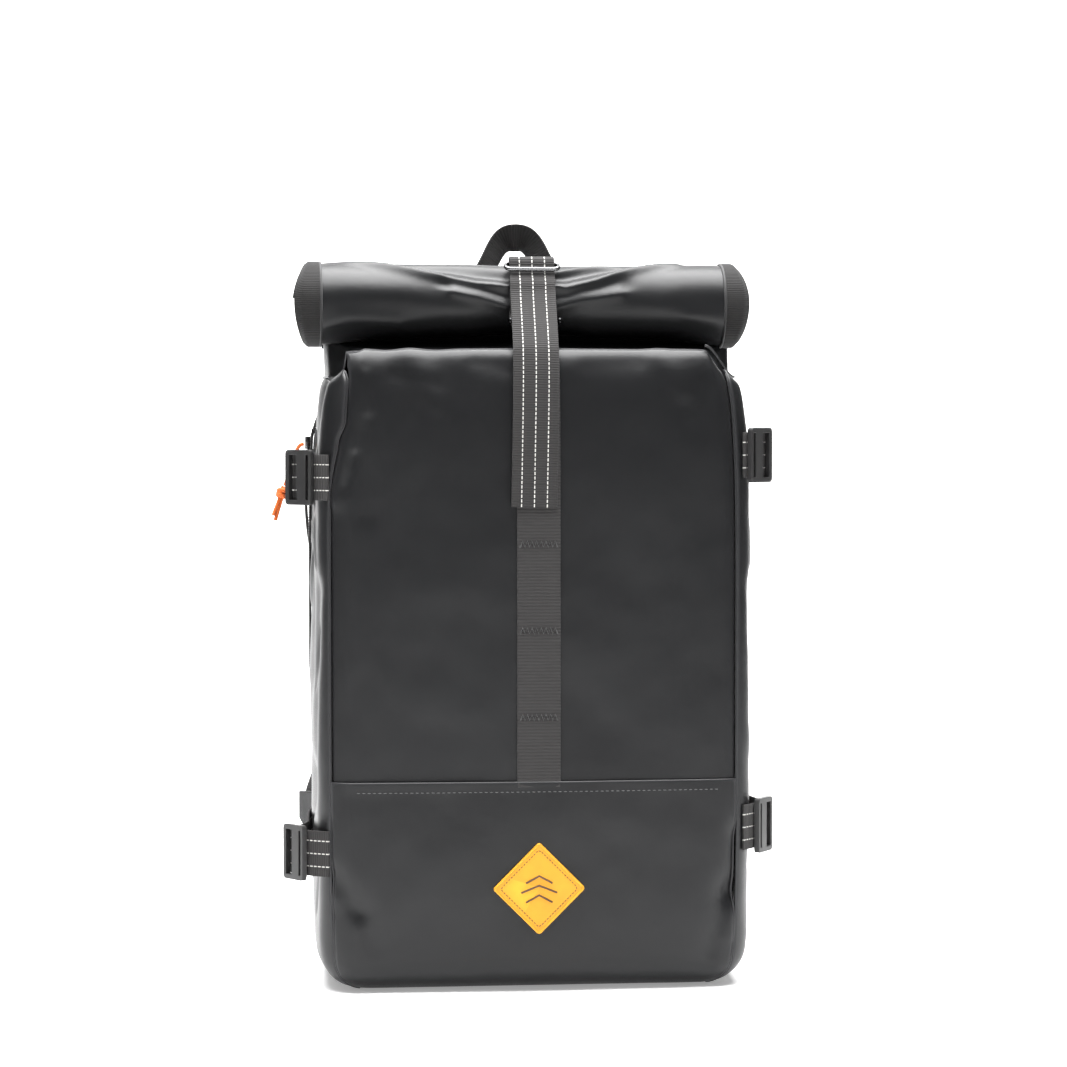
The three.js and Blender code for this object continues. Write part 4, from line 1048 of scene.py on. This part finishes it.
def surfaceLine(seam, low, high, lift, count=80):
    line = []
    for i in range(count + 1):
        level = levelOfRun(lerp(low, high, i / count))
        s = seam(level)
        point = bodyPoint(s, level)
        line.append(point + bodyNormal(s, level) * lift)
    return line


def makeSeams():
    top = runOfLevel(wallTop - 0.02)
    for name, seam in (("left", leftSeam), ("right", rightSeam)):
        welt = surfaceLine(seam, 6, top - 14, 0, 160)
        relieved = []
        for point in welt:
            depth = creaseDepth(frontFolds, bag["frontWidth"] / 2, point.x, point.z) * 0.7
            inward = Vector((-point.x, -point.y, 0)).normalized()
            relieved.append(point + inward * (depth + 0.8))
        addPiece(tubeShape(relieved, seams["welt"], 8), "front_seam_welt_" + name, coatedFabric)
    rim = [outlinePoint(wallRows[wallTop], 1 + 6 * i / 150) for i in range(151)]
    addPiece(tubeShape(rim, seams["topWelt"], 8), "shoulder_seam_welt", coatedFabric)
    for name, seam in (("left", lambda level: 5.5), ("right", lambda level: 3.5)):
        welt = surfaceLine(seam, 26, top, 0.4, 120)
        addPiece(tubeShape(welt, seams["backWelt"], 8), "back_seam_welt_" + name, webbing)


def onFront(x, height, lift=0.0):  # a point on the lower front panel's face
    section = mixRow(fineRows, levelOfHeight(min(height, bag["shoulder"])) * rowSteps)
    across = x / section[2]
    face = -section[3] - bag["crown"] * (1 - across * across)
    depth = creaseDepth(frontFolds, bag["frontWidth"] / 2, x, height)
    depth += creaseDepth(frontWrinkles, bag["frontWidth"] / 2, x, height)
    return Vector((x, face + depth - lift, height))


def makeHemStitches():
    line = [onFront(x, bag["hem"] - seams["aboveStitches"], 0.1) for x in range(-152, 153, 4)]
    spots = spotsAlong(line, seams["pitch"], lambda spot: Vector((0, -1, 0)))
    addPiece(stitchShape(spots, 3.1, 0.75, 0.6), "hem_stitches", greyThread)


makeSeams()
makeHemStitches()
print("seams made")


# Straps over the roll and down the front, with their metal

closure = dict(
    width=38, anchorWidth=32, daisyWidth=36, thickness=1.8, gap=0.4, tailEnd=405, skew=4, anchorDrop=54,
    ringAngle=128, ringHeight=15, ringWire=3.6, ringMargin=3, hookHeight=14, hookWire=3.4, hookShare=0.62,
    hookLift=4.9, offRollAngle=172, crestClearance=3.1, ringLean=12, ringRaise=1.2,
    levels=(0.55, 0.78, 0.88, 0.945, 0.982), bartacks=(374.6, 302.5, 230.5),
    knobAt=20.2, knobRadius=2.9, knobEnds=(-1.6, 2.6), tackHalf=15.5, tackSwing=2.6,
)
ply = closure["thickness"] / 2
near = closure["gap"] + ply
layer = closure["thickness"] + closure["gap"]


def frontFace(x, height, gap):  # the upper front panel's plain face, pushed out by a gap
    row = mixRow(wallRows, levelOfHeight(min(height, bag["shoulder"])))
    across = x / row[2]
    face = -row[3] - bag["crown"] * (1 - across * across) + bag["wall"] + bag["lapGap"]
    return Vector((x, face - gap, height))


def addWebbing(stations, columns, name, material, node, thickness=closure["thickness"], bevel=0.35):
    addPiece(ribbonShape(stations, columns), name, material, [node], wall=thickness, offset=0,
             bevel=bevel)


def flatStations(points, width, rounds=3, step=2.4):
    rows = [list(point) + [1, 0, 0, width] for point in points]
    return spaceEvenly(roundCorners(rows, rounds), step)


def loopLine(width, height, wire, corner):
    reachX, reachY = width / 2 - wire / 2, height / 2 - wire / 2
    line = []
    for side, up, start in ((1, 1, 0), (-1, 1, 90), (-1, -1, 180), (1, -1, 270)):
        for i in range(9):
            turn = math.radians(start + 90 * i / 8)
            line.append(Vector((side * (reachX - corner) + corner * math.cos(turn),
                                up * (reachY - corner) + corner * math.sin(turn), 0)))
    return densify(line)


def knobRadiusAt(share):
    return closure["knobRadius"] * math.sqrt(max(1 - (2 * share - 1) ** 2, 0.02))


def makeClosure():
    ringLift = closure["gap"] + layer + closure["ringWire"] / 2
    ringPlace = rollPoint(0, closure["ringAngle"], ringLift + ply)
    tilt = math.radians(closure["ringAngle"] - 90)
    slope = Vector((0, -math.cos(tilt), -math.sin(tilt)))
    outward = Vector((0, -math.sin(tilt), math.cos(tilt)))
    barReach = closure["ringHeight"] / 2 - closure["ringWire"] / 2
    turn = closure["ringWire"] / 2 + closure["gap"] + ply

    def foldRound(reach, start, end):
        bar = ringPlace + slope * reach
        folded = []
        for i in range(9):
            angle = math.radians(lerp(start, end, i / 8))
            folded.append(bar + outward * (turn * math.cos(angle)) - slope * (turn * math.sin(angle)))
        return folded

    wide = closure["width"] + 2 * closure["ringWire"] + closure["ringMargin"]
    ringTurn = Matrix.Rotation(tilt - math.radians(closure["ringLean"]), 4, "X")
    ringMiddle = ringPlace + outward * closure["ringRaise"]
    ringLine = loopLine(wide, closure["ringHeight"], closure["ringWire"], 4.6)
    ring = [ringTurn @ point + ringMiddle for point in ringLine]
    addPiece(tubeShape(ring, closure["ringWire"] / 2, 16, closed=True), "closure_ring_wire", steel,
             ["closure_ring"])

    backFace = bag["halfDepth"] + closure["gap"] + ply
    anchor = [Vector((0, backFace, bag["shoulder"] - closure["anchorDrop"])),
              Vector((0, backFace, bag["shoulder"] - 2 * roll["clearance"])),
              Vector((0, backFace - roll["clearance"], bag["shoulder"] + roll["clearance"]))]
    anchor += [rollPoint(0, lerp(20, 96, i / 8), near) for i in range(9)] + foldRound(-barReach, 190, 0)
    addWebbing(flatStations(anchor, closure["anchorWidth"]), 8, "closure_anchor_webbing", stitchedWebbing,
               "closure_anchor_strap")

    crestFace = wallRows[wallTop][3] + bag["crown"]
    overCrest = Vector((0, -(crestFace + 2 * layer), bag["shoulder"] + layer))
    overHook = near + closure["hookLift"]
    offRoll = rollPoint(0, closure["offRollAngle"], overHook)
    fall = (overCrest - offRoll).normalized()
    inward = Vector((0, -fall.z, fall.y))
    hookPlace = offRoll.lerp(overCrest, closure["hookShare"]) + inward * (near + closure["hookWire"] / 2)
    hookTurn = Matrix.Rotation(math.atan2(-fall.z, -fall.y), 4, "X")
    hookLine = loopLine(closure["width"] + 1, closure["hookHeight"], closure["hookWire"], 4.2)
    hookWire = [hookTurn @ point + hookPlace for point in hookLine]
    hookParts = [tubeShape(hookWire, closure["hookWire"] / 2, 14, closed=True)]
    upperBar = hookPlace - fall * (closure["hookHeight"] / 2 - closure["hookWire"] / 2)
    for side in (-1, 1):  # round knobs at the ends of its upper bar
        knob = upperBar + Vector((side * closure["knobAt"], 0, 0))
        line = [knob + Vector((side * lerp(*closure["knobEnds"], i / 6), 0, 0)) for i in range(7)]
        hookParts.append(tubeShape(line, knobRadiusAt, 14))
    addPiece(mergeShapes(hookParts), "closure_hook_wire", darkSteel, ["closure_hook"])

    hookBar = hookPlace - fall * ((closure["hookHeight"] - closure["hookWire"]) / 2)
    underBar = hookBar + inward * (near + closure["hookWire"] / 2)
    under = [underBar + fall * down for down in (closure["hookWire"], 0)]
    under += [rollPoint(0, angle, near) for angle in (205, 190, 172, 155, 140, 126)]
    lifted = closure["gap"] + layer + ply
    onDaisy = [frontFace(0, share * bag["shoulder"], lifted) for share in reversed(closure["levels"])
               if share * bag["shoulder"] > closure["tailEnd"]]
    rearBar = ringMiddle + ringTurn @ Vector((0, barReach, 0))
    fold = turn + layer
    tail = under + [ringPlace - outward * (0.9 + turn)]
    for i in range(11):
        angle = math.radians(lerp(200, 365, i / 10))
        tail.append(rearBar + outward * (fold * math.cos(angle)) + slope * (fold * math.sin(angle)))
    tail.append(rearBar + outward * (fold - 1) + slope * 3)
    tail += [rollPoint(0, angle, near + layer) for angle in (136, 139)]
    tail += [rollPoint(0, 147, near + 3), rollPoint(0, 156, overHook), offRoll, overCrest]
    tail += onDaisy + [frontFace(0, closure["tailEnd"], lifted)]
    skewed = []
    for point in tail:
        share = clamp((ringPlace.z - point.z) / (ringPlace.z - closure["tailEnd"]))
        skewed.append(Vector((-closure["skew"] * share, point.y, point.z)))
    addWebbing(flatStations(skewed, closure["width"], 2, 2.0), 10, "closure_strap_webbing", stitchedWebbing,
               "closure_strap")

    heights = [bag["hem"] + bag["lapGap"], closure["tailEnd"]]
    heights += [share * bag["shoulder"] for share in closure["levels"]]
    daisy = [frontFace(0, height, near) for height in sorted(heights)]
    daisy.append(Vector((0, -(crestFace + closure["crestClearance"]), bag["shoulder"] - near)))
    daisy.append(Vector((0, -(crestFace - near), bag["shoulder"] + closure["crestClearance"])))
    addWebbing(flatStations(daisy, closure["daisyWidth"], 2), 10, "daisy_webbing", ribbedWebbing,
               "daisy_strap")
    makeBartacks()


def makeBartacks():  # zigzag rows that sew the strap to the front
    tacks = []
    for height in closure["bartacks"]:
        line = []
        for i in range(17):
            x = lerp(-closure["tackHalf"], closure["tackHalf"], i / 16)
            swing = closure["tackSwing"] if i % 2 else -closure["tackSwing"]
            line.append(frontFace(x, height + swing, near + ply + 0.25))
        tacks.append(tubeShape(line, 0.55, 6))
    addPiece(mergeShapes(tacks), "daisy_bartacks", darkThread)


makeClosure()
print("closure made")


# Patch with a plain pattern of its own: a raised rim and three chevrons

patch = dict(
    side=55, thickness=2, face=1.1, height=88, gap=0.4, rim=2.6, rimWire=0.95, corner=2.4, stitchInset=6.4,
    chevrons=((8, 11), (0, 15), (-8, 11)),  # from the top one: height over the middle, half its width
)


def diamondLine(reach, corner, lift):  # a square on its point with round corners, in the patch's plane
    line = []
    inner = reach - corner * math.sqrt(2)
    for quarter in range(4):
        turn = math.pi / 2 * quarter
        middle = Vector((inner * math.sin(turn), lift, inner * math.cos(turn)))
        for i in range(9):
            angle = turn - math.pi / 4 + math.pi / 2 * i / 8
            line.append(middle + Vector((corner * math.sin(angle), 0, corner * math.cos(angle))))
    return densify(line)


def makePatch():
    reach = patch["side"] / math.sqrt(2)
    face = -mixRow(fineRows, levelOfHeight(patch["height"]) * rowSteps)[3] - bag["crown"]
    middle = Vector((0, face - patch["gap"], patch["height"]))
    base = diamondLine(reach, patch["corner"], 0)
    steps = [(1, 0), (1, -0.5), (1 - 0.4 / reach, -patch["thickness"] + 0.9)]
    steps += [(share, -patch["face"]) for share in (1 - patch["rim"] / reach, 0.5, 0.001)]

    def place(u, v):
        point = base[round(u * len(base)) % len(base)]
        grow, lift = steps[round(v * (len(steps) - 1))]
        return middle + point * grow + Vector((0, lift, 0))

    shape = wrapGrid(len(base), len(steps) - 1, place, (4 * patch["side"], 30), joined=True, capped=True)
    addPiece(shape, "patch_plate", patchFace, ["patch"])
    rimLine = diamondLine(reach - patch["rim"] / 2, patch["corner"], -patch["thickness"] + patch["rimWire"])
    rim = [middle + point for point in rimLine]
    addPiece(tubeShape(rim, patch["rimWire"], 12, closed=True), "patch_rim", patchFace)

    surface = middle.y - patch["face"]
    marks = []
    for drop, half in patch["chevrons"]:
        line = [Vector((x, surface - 0.15, patch["height"] + drop - 3.5 + 6 * (1 - abs(x) / half)))
                for x in (-half, -half / 2, 0, half / 2, half)]
        marks.append(tubeShape(line, 0.8, 10))
    addPiece(mergeShapes(marks), "patch_chevrons", patchDark)
    border = diamondLine(reach - patch["stitchInset"], 1.2, surface - 0.1 - middle.y)
    border = [middle + point for point in border + border[:1]]
    spots = spotsAlong(border, 3.0, lambda spot: Vector((0, -1, 0)))
    addPiece(stitchShape(spots, 2.2, 0.8, 0.7), "patch_stitches", patchDark)


makePatch()
print("patch made")


# Side straps and ladder buckles

sideStraps = dict(
    width=38, thickness=1.8, buckleHeight=46, buckleLength=27, buckleThickness=5,
    bars=(3.8, 8.2, 9.6, 2.6, 2.8),  # from the free end: bar, window, bar, slot, bar
    rail=4.2, zipOver=1.5 + 0.6,
    # name, side, level, place round the outline, distance off the gusset, turn from facing the front, and how
    # far the webbing reaches behind the buckle
    places=[("upper_left", -1, 0.796, 2, 15, 40, 16), ("upper_right", 1, 0.83, 1.8, 10.5, 40, 18),
            ("lower_left", -1, 0.217, 2, 19.5, 55, 18), ("lower_right", 1, 0.25, 2, 12, 55, 21)],
)


def gussetPoint(side, s, height, gap):
    level = levelOfHeight(height)
    point = bodyPoint(s, level) + bodyNormal(s, level) * gap
    return Vector((side * point.x, point.y, height))


def strapPoint(side, s, height, gap):  # clears the wider of the levels at the strap's two edges
    edges = [gussetPoint(side, s, height + edge * sideStraps["width"] / 2, gap) for edge in (-1, 1)]
    wider = edges[0] if abs(edges[0].x) > abs(edges[1].x) else edges[1]
    return Vector((wider.x, wider.y, height))


def addBuckle(name, node, place, axes, size, bars, rail, bevel):  # axes: along, up and facing
    shape = buckleShape(*size, bars, rail)
    turn = Matrix(axes).transposed().to_4x4()
    at = Matrix.Translation(place * mm) @ turn @ Matrix.Scale(mm, 4)
    bmesh.ops.transform(shape, matrix=at, verts=shape.verts)
    bmesh.ops.recalc_face_normals(shape, faces=shape.faces)
    addPiece(shape, name, blackPlastic, [node], bevel=bevel, segments=3)


def buckleShape(long, high, thick, bars, rail):
    # a flat grid whose lines are moved to the edges of the bars, with the windows taken out
    marks = [-long / 2]
    for bar in bars:
        marks.append(marks[-1] + bar)
    uprights = [-high / 2, -high / 2 + rail, high / 2 - rail, high / 2]
    shape = bmesh.new()
    shape.loops.layers.uv.new("UVMap")
    bmesh.ops.create_grid(shape, x_segments=len(bars), y_segments=3, size=0.5, calc_uvs=True)
    for vert in shape.verts:
        column = round((vert.co.x + 0.5) * len(bars))
        line = round((vert.co.y + 0.5) * 3)
        vert.co = Vector((marks[column], uprights[line], 0))
    windows = []
    for face in shape.faces:
        spot = face.calc_center_median()
        column = sum(spot.x > mark for mark in marks) - 1
        if column % 2 and abs(spot.y) < high / 2 - rail:
            windows.append(face)
    bmesh.ops.delete(shape, geom=windows, context="FACES")
    cornersOut = [vert for vert in shape.verts if abs(abs(vert.co.x) - long / 2) < 0.01
                  and abs(abs(vert.co.y) - high / 2) < 0.01]
    bmesh.ops.bevel(shape, geom=cornersOut, offset=3.2, offset_type="OFFSET", affect="VERTICES", segments=5,
                    profile=0.5, material=-1)
    upright = [edge for edge in shape.edges if abs(edge.verts[0].co.x - edge.verts[1].co.x) < 0.01]
    bmesh.ops.subdivide_edges(shape, edges=upright, cuts=3, use_grid_fill=False)
    base = shape.faces[:]
    solid = bmesh.ops.extrude_face_region(shape, geom=base)
    lifted = [item for item in solid["geom"] if isinstance(item, bmesh.types.BMVert)]
    bmesh.ops.translate(shape, verts=lifted, vec=(0, 0, thick))
    bmesh.ops.translate(shape, verts=shape.verts, vec=(0, 0, -thick / 2))
    bmesh.ops.recalc_face_normals(shape, faces=shape.faces)
    return shape


def makeSideStraps():
    for name, side, up, around, off, turned, reach in sideStraps["places"]:
        height = up * bag["shoulder"]
        centre = gussetPoint(side, around, height, off)
        turn = math.radians(turned)
        along = Vector((side * math.cos(turn), math.sin(turn), 0))
        facing = Vector((side * math.sin(turn), -math.cos(turn), 0))
        behind = centre - facing * (sideStraps["buckleThickness"] / 2 + closure["gap"] + near)
        zipOver = sideStraps["zipOver"] + ply
        line = [strapPoint(side, 1 + frontSeam + 0.08, height, near),
                behind - along * (sideStraps["buckleLength"] * 0.45),
                behind + along * (reach * 0.5), behind + along * (reach * 0.85), behind + along * reach,
                behind + along * reach - facing * 3, behind + along * (reach * 0.8) - facing * 5,
                strapPoint(side, 2.3, height, zipOver + 2 * ply), strapPoint(side, 2.55, height, zipOver),
                strapPoint(side, 2.75, height, zipOver), strapPoint(side, 3, height, zipOver),
                strapPoint(side, 3.15, height, (near + zipOver) / 2), strapPoint(side, 3.3, height, near),
                strapPoint(side, 3.45, height, near)]
        rows = [list(point) + [0, 0, 1, sideStraps["width"]] for point in line]
        stations = spaceEvenly(roundCorners(rows, 2), 2.4)
        addWebbing(stations, 10, "side_webbing_" + name, stitchedWebbing, "side_strap_" + name,
                   sideStraps["thickness"])
        size = (sideStraps["buckleLength"], sideStraps["buckleHeight"], sideStraps["buckleThickness"])
        addBuckle("side_ladder_buckle_" + name, "side_buckle_" + name, centre,
                  (along, Vector((0, 0, 1)), facing), size, tuple(reversed(sideStraps["bars"])),
                  sideStraps["rail"], 1.3)


makeSideStraps()
print("side straps made")


# Carry handle: two legs turned half on edge, and a short top that shows its underside

handle = dict(
    drop=38, webbing=25, thickness=1.8, footAcross=52,
    # right half from the foot up: across, height, lean to the back, turn from facing the front
    route=[(52.5, 502, 0, 0), (51.5, 530, 0, 0), (45, 566, 3, 22), (35.5, 596, 6, 42), (24.5, 617, 9, 46),
           (16, 634, 11, 42), (8, 640.5, 11, 24), (0, 641, 11, 12)],
)


def makeHandle():
    foot = bag["halfDepth"] + closure["gap"] + ply
    footHeight = bag["shoulder"] - handle["drop"]
    half = [(-across, height, lean, turn) for across, height, lean, turn in handle["route"]]
    whole = half + list(reversed(handle["route"][:-1]))
    points = [Vector((across, foot + lean, height)) for across, height, lean, turn in whole]
    rows = []
    for i, point in enumerate(points):
        along = (points[min(i + 1, len(points) - 1)] - points[max(i - 1, 0)]).normalized()
        turn = math.radians(whole[i][3])
        across = Vector((along.z * math.cos(turn), math.sin(turn), -along.x * math.cos(turn)))
        rows.append(list(point) + list(across) + [handle["webbing"]])
    stations = spaceEvenly(roundCorners(rows, 3), 2)
    addWebbing(stations, 10, "carry_handle_webbing", webbing, "carry_handle", handle["thickness"], 0.4)
    spots = []
    for side in (-1, 1):  # a sewn box at each foot
        at = Vector((side * handle["footAcross"], foot + ply + 0.2, footHeight + 12))
        box = [at + Vector((x, 0, z)) for x, z in ((-8, -9), (8, -9), (8, 9), (-8, 9), (-8, -9), (8, 9))]
        spots += spotsAlong(box, 3, lambda spot: Vector((0, 1, 0)))
    addPiece(stitchShape(spots, 2.1, 0.7, 0.6), "handle_stitches", darkThread)


makeHandle()
print("handle made")


# Shoulder straps

shoulder = dict(
    width=64, thickness=12, standOff=34, webbing=25, buckleLength=30, buckleThickness=5,
    bars=(5, 5.6, 4.6, 5.6, 5), rail=4.6, swell=0.005, endReach=2.5,
    route=[(0.42, 0.8, 0, 0.74), (0.53, 0.88, 0.06, 0.76), (0.67, 0.93, 0.5, 0.78), (0.79, 0.905, 0.9, 0.84),
           (0.86, 0.83, 1, 0.94), (0.86, 0.72, 1, 1), (0.82, 0.6, 0.95, 0.85), (0.79, 0.5, 0.85, 0.6)],
    wingHeight=60, wingReach=40, wingThickness=3, wingLevel=118, wingTurn=62,
)


def curvePoint(rows, place):  # through the rows, with one soft curve between two of them
    low = min(max(int(place), 0), len(rows) - 2)
    t = place - low
    p0, p1, p2, p3 = (rows[min(max(low + shift, 0), len(rows) - 1)] for shift in (-1, 0, 1, 2))
    soft = []
    for a, b, c, d in zip(p0, p1, p2, p3):
        square, cube = 2 * a - 5 * b + 4 * c - d, 3 * b - a - 3 * c + d
        soft.append(0.5 * (2 * b + (c - a) * t + square * t * t + cube * t ** 3))
    return soft


def shoulderFrames(side, count):
    behind = bag["halfDepth"] + bag["lapGap"] + shoulder["thickness"] / 2
    rows = [[side * across * bag["halfWidth"], behind + out * shoulder["standOff"], up * bag["shoulder"],
             wide * shoulder["width"]] for across, up, out, wide in shoulder["route"]]
    spots = [curvePoint(rows, (len(rows) - 1) * i / count) for i in range(count + 1)]
    frames = []
    for i, spot in enumerate(spots):
        along = (Vector(spots[min(i + 1, count)][:3]) - Vector(spots[max(i - 1, 0)][:3])).normalized()
        facing = (Vector((0, 1, 0)) - along * along.y).normalized()
        frames.append((Vector(spot[:3]), along, facing, along.cross(facing), spot[3]))
    return frames


def padShape(frames, sides, swell):
    count = len(frames) - 1

    def place(u, v):
        i = min(round(u * count), count)
        point, along, facing, across, width = frames[i]
        turn = 2 * math.pi * v
        c, s = math.cos(turn), math.sin(turn)
        flat = math.copysign(abs(c) ** 0.5, c)
        high = math.copysign(abs(s) ** 0.62, s)
        endIn = 1 - 0.55 * (1 - smooth(min(u, 1 - u) * count, 0, 4))
        puff = 1 + swell * (1 - abs(flat)) - 0.12
        return point + across * (flat * width / 2 * lerp(0.93, 1, endIn)) \
            + facing * (high * shoulder["thickness"] / 2 * puff * endIn)

    length = lineLength([frame_[0] for frame_ in frames])
    return wrapGrid(count, sides, place, (length, 2 * shoulder["width"]), joined=True, capped=True)


def makeShoulderStraps():
    for name, side in (("left", -1), ("right", 1)):
        frames = shoulderFrames(side, 110)
        pad = addPiece(padShape(frames, 44, 0.06), "shoulder_pad_" + name, paddingCloth,
                       ["shoulder_strap_" + name])
        inflate(pad, shoulder["swell"])
        soft = pad.modifiers.new("soft", "SUBSURF")
        soft.levels = soft.render_levels = 1
        for edge in (-1, 1):
            piping = [point + across * (edge * width / 2 * 0.965)
                      for point, along, facing, across, width in frames[3:-3]]
            addPiece(tubeShape(piping, 1.5, 8), "shoulder_piping_%s_%s" % (name, "in" if edge < 0 else "out"),
                     webbing)
        point, along, facing, across, width = frames[-1]
        buckleAt = point + along * (shoulder["buckleLength"] / 2 - shoulder["endReach"])
        size = (shoulder["buckleLength"], shoulder["webbing"] + 10, shoulder["buckleThickness"])
        addBuckle("shoulder_ladder_buckle_" + name, "shoulder_buckle_" + name, buckleAt,
                  (along, facing.cross(along), facing), size, shoulder["bars"], shoulder["rail"], 1.1)
        makeWing(name, side, buckleAt, along, facing, across)


def makeWing(name, side, buckleAt, along, facing, across):
    turn = math.radians(shoulder["wingTurn"])
    out = Vector((side * math.cos(turn), math.sin(turn), 0))
    wingFacing = Vector((-side * math.sin(turn), math.cos(turn), 0))
    thick = shoulder["wingThickness"]
    corner = gussetPoint(side, 3.5, shoulder["wingLevel"], bag["lapGap"] + thick / 2)
    reach, tall = shoulder["wingReach"], shoulder["wingHeight"]

    def place(u, v):
        low, high = lerp(0, 0.55 * tall, u), lerp(tall, 0.95 * tall, u)
        puff = math.sin(math.pi * v) * math.sin(math.pi * clamp(u + 0.2)) * 0.4
        return corner + out * (reach * u) + Vector((0, 0, lerp(low, high, v) - tall / 2)) + wingFacing * puff

    shape = wrapGrid(18, 24, place, (reach, tall))
    addPiece(shape, "wing_tab_" + name, coatedFabric, ["strap_wing_" + name], wall=thick, offset=0,
             bevel=0.9, segments=3)
    offWing = thick / 2 + closure["gap"] + ply
    sewn = corner + out * (reach * 0.7) + wingFacing * offWing
    top = buckleAt + facing * (shoulder["buckleThickness"] / 2 + 2 * closure["gap"] + ply)
    onWing = out * side
    start = top - along * (shoulder["buckleLength"] * 0.35)
    under = top + along * (shoulder["buckleLength"] * 0.6)
    over = sewn + Vector((-side * reach * 0.05, 0, tall * 0.4))
    rows = [list(start) + list(across) + [shoulder["webbing"]]]
    for i in range(5):
        rows.append(list(under.lerp(over, i / 4)) + list(across.lerp(onWing, i / 4)) + [shoulder["webbing"]])
    rows.append([sewn.x, sewn.y, shoulder["wingLevel"] + tall * 0.1] + list(onWing) + [shoulder["webbing"]])
    stations = spaceEvenly(roundCorners(rows, 2), 2.4)
    addWebbing(stations, 8, "shoulder_webbing_woven_" + name, webbing, "shoulder_webbing_" + name)


makeShoulderStraps()
print("shoulder straps made")


# Side zip with its slider

zipper = dict(
    length=210, width=14, thickness=1.5, top=470, place=2.88, tooth=2.2,
    sliderLength=12, sliderHeight=5, sliderWidth=6.2,
)


def zipPoint(height, gap, shift=0.0):
    return gussetPoint(-1, zipper["place"] + shift, height, gap)


def makeZip():
    rows = []
    for i in range(71):
        height = lerp(zipper["top"] - zipper["length"], zipper["top"], i / 70)
        point = zipPoint(height, bag["lapGap"] + zipper["thickness"] / 2)
        across = (zipPoint(height, 0, 0.05) - zipPoint(height, 0, -0.05)).normalized()
        rows.append(list(point) + list(across) + [zipper["width"]])
    addWebbing(rows, 8, "zip_tape", webbing, "side_zip", zipper["thickness"], 0.3)
    spots = []
    height = zipper["top"] - zipper["length"] + 3
    while height < zipper["top"] - zipper["sliderLength"] - 3:
        level = levelOfHeight(height)
        out = bodyNormal(zipper["place"], level)
        out.x = -out.x
        across = Vector((-out.y, out.x, 0)).normalized()
        point = zipPoint(height, bag["lapGap"] + zipper["thickness"] + 0.2)
        spots.append((point, across, out))
        height += zipper["tooth"]
    addPiece(stitchShape(spots, 4.6, 1.5, 1.4), "zip_teeth", blackPlastic)

    level = zipper["top"] - zipper["sliderLength"]
    at = zipPoint(level, 3 * bag["lapGap"] + zipper["thickness"] + zipper["sliderHeight"] / 2)
    shape = bmesh.new()
    shape.loops.layers.uv.new("UVMap")
    bmesh.ops.create_cube(shape, size=1, calc_uvs=True)
    bmesh.ops.scale(shape, vec=(zipper["sliderHeight"] - 0.6, zipper["sliderWidth"], zipper["sliderLength"]),
                    verts=shape.verts)
    lower = [vert for vert in shape.verts if vert.co.z < 0]
    bmesh.ops.scale(shape, vec=(1, 0.72, 1), verts=lower)
    bmesh.ops.bevel(shape, geom=shape.edges[:], offset=1.2, offset_type="OFFSET", affect="EDGES", segments=4,
                    profile=0.5, material=-1)
    bmesh.ops.transform(shape, matrix=Matrix.Translation(at * mm) @ Matrix.Scale(mm, 4), verts=shape.verts)
    addPiece(shape, "zip_slider_body", steel, ["zip_slider"])


makeZip()
print("zip made")


# Floor, backdrop and lights

studio = dict(floor=(0.9, 0.9, 0.9, 1), world=0.08, glow=0.3, size=1.6, back=2.6, bend=1.6)


def makeStudio():
    # a floor that bends up into a wall behind the bag
    def place(u, v):
        run = lerp(-4, 6, v)
        x = lerp(-studio["size"], studio["size"], u)
        start, bend = studio["back"] - studio["bend"], studio["bend"]
        arc = bend * math.pi / 2
        if run < start:
            y, z = run, 0
        elif run < start + arc:
            turn = (run - start) / bend
            y, z = start + bend * math.sin(turn), bend * (1 - math.cos(turn))
        else:
            y, z = studio["back"], bend + run - start - arc
        return Vector((x, y, z)) / mm

    shape = wrapGrid(4, 60, place)
    faceOutwards(shape, lambda spot: spot + (spot - Vector((0, 0, 1))))
    material, tree, shader = newMaterial("studio_paper", Specular_IOR_Level=0.1, Emission_Color=(1, 1, 1, 1),
                                         Emission_Strength=studio["glow"])
    grain = surfaceNoise(tree, 3, 2)
    shader.inputs["Base Color"].default_value = studio["floor"]
    tree.links.new(fromRange(tree, grain, 0.8, 0.9), shader.inputs["Roughness"])
    mesh = bpy.data.meshes.new("studio_floor")
    shape.to_mesh(mesh)
    shape.free()
    mesh.shade_smooth()
    mesh.materials.append(material)
    addObject("studio_floor", mesh)

    world = bpy.data.worlds.new("studio_world")
    world.use_nodes = True
    world.node_tree.nodes["Background"].inputs[0].default_value = (1, 1, 1, 1)
    world.node_tree.nodes["Background"].inputs[1].default_value = studio["world"]
    bpy.context.scene.world = world


lamps = [  # name, place, target, size, watts
    ("ceiling_soft", (0, -0.1, 2.5), (0, 0, 0), 2.2, 250),
    ("wall_soft", (0, 0.9, 2.4), (0, 2.6, 0.7), 2.4, 50),
    ("left_soft", (-2.4, -0.9, 1.5), (0, 0, 0.4), 0.9, 5),
    ("front_soft", (-0.5, -2.2, 2.6), (0, 0, 0.55), 1.0, 5),
    ("right_soft", (2.5, -0.8, 1.3), (0, 0, 0.4), 0.9, 3),
]


def makeLamps():
    for name, place, target, size, watts in lamps:
        data = bpy.data.lights.new(name, "AREA")
        data.shape = "SQUARE"
        data.size = size
        data.energy = watts
        lamp = addObject(name, data)
        lamp.location = place
        lamp.rotation_euler = (Vector(target) - Vector(place)).to_track_quat("-Z", "Y").to_euler()


makeStudio()
makeLamps()
bpy.context.scene.view_settings.view_transform = "Standard"
print("studio made")
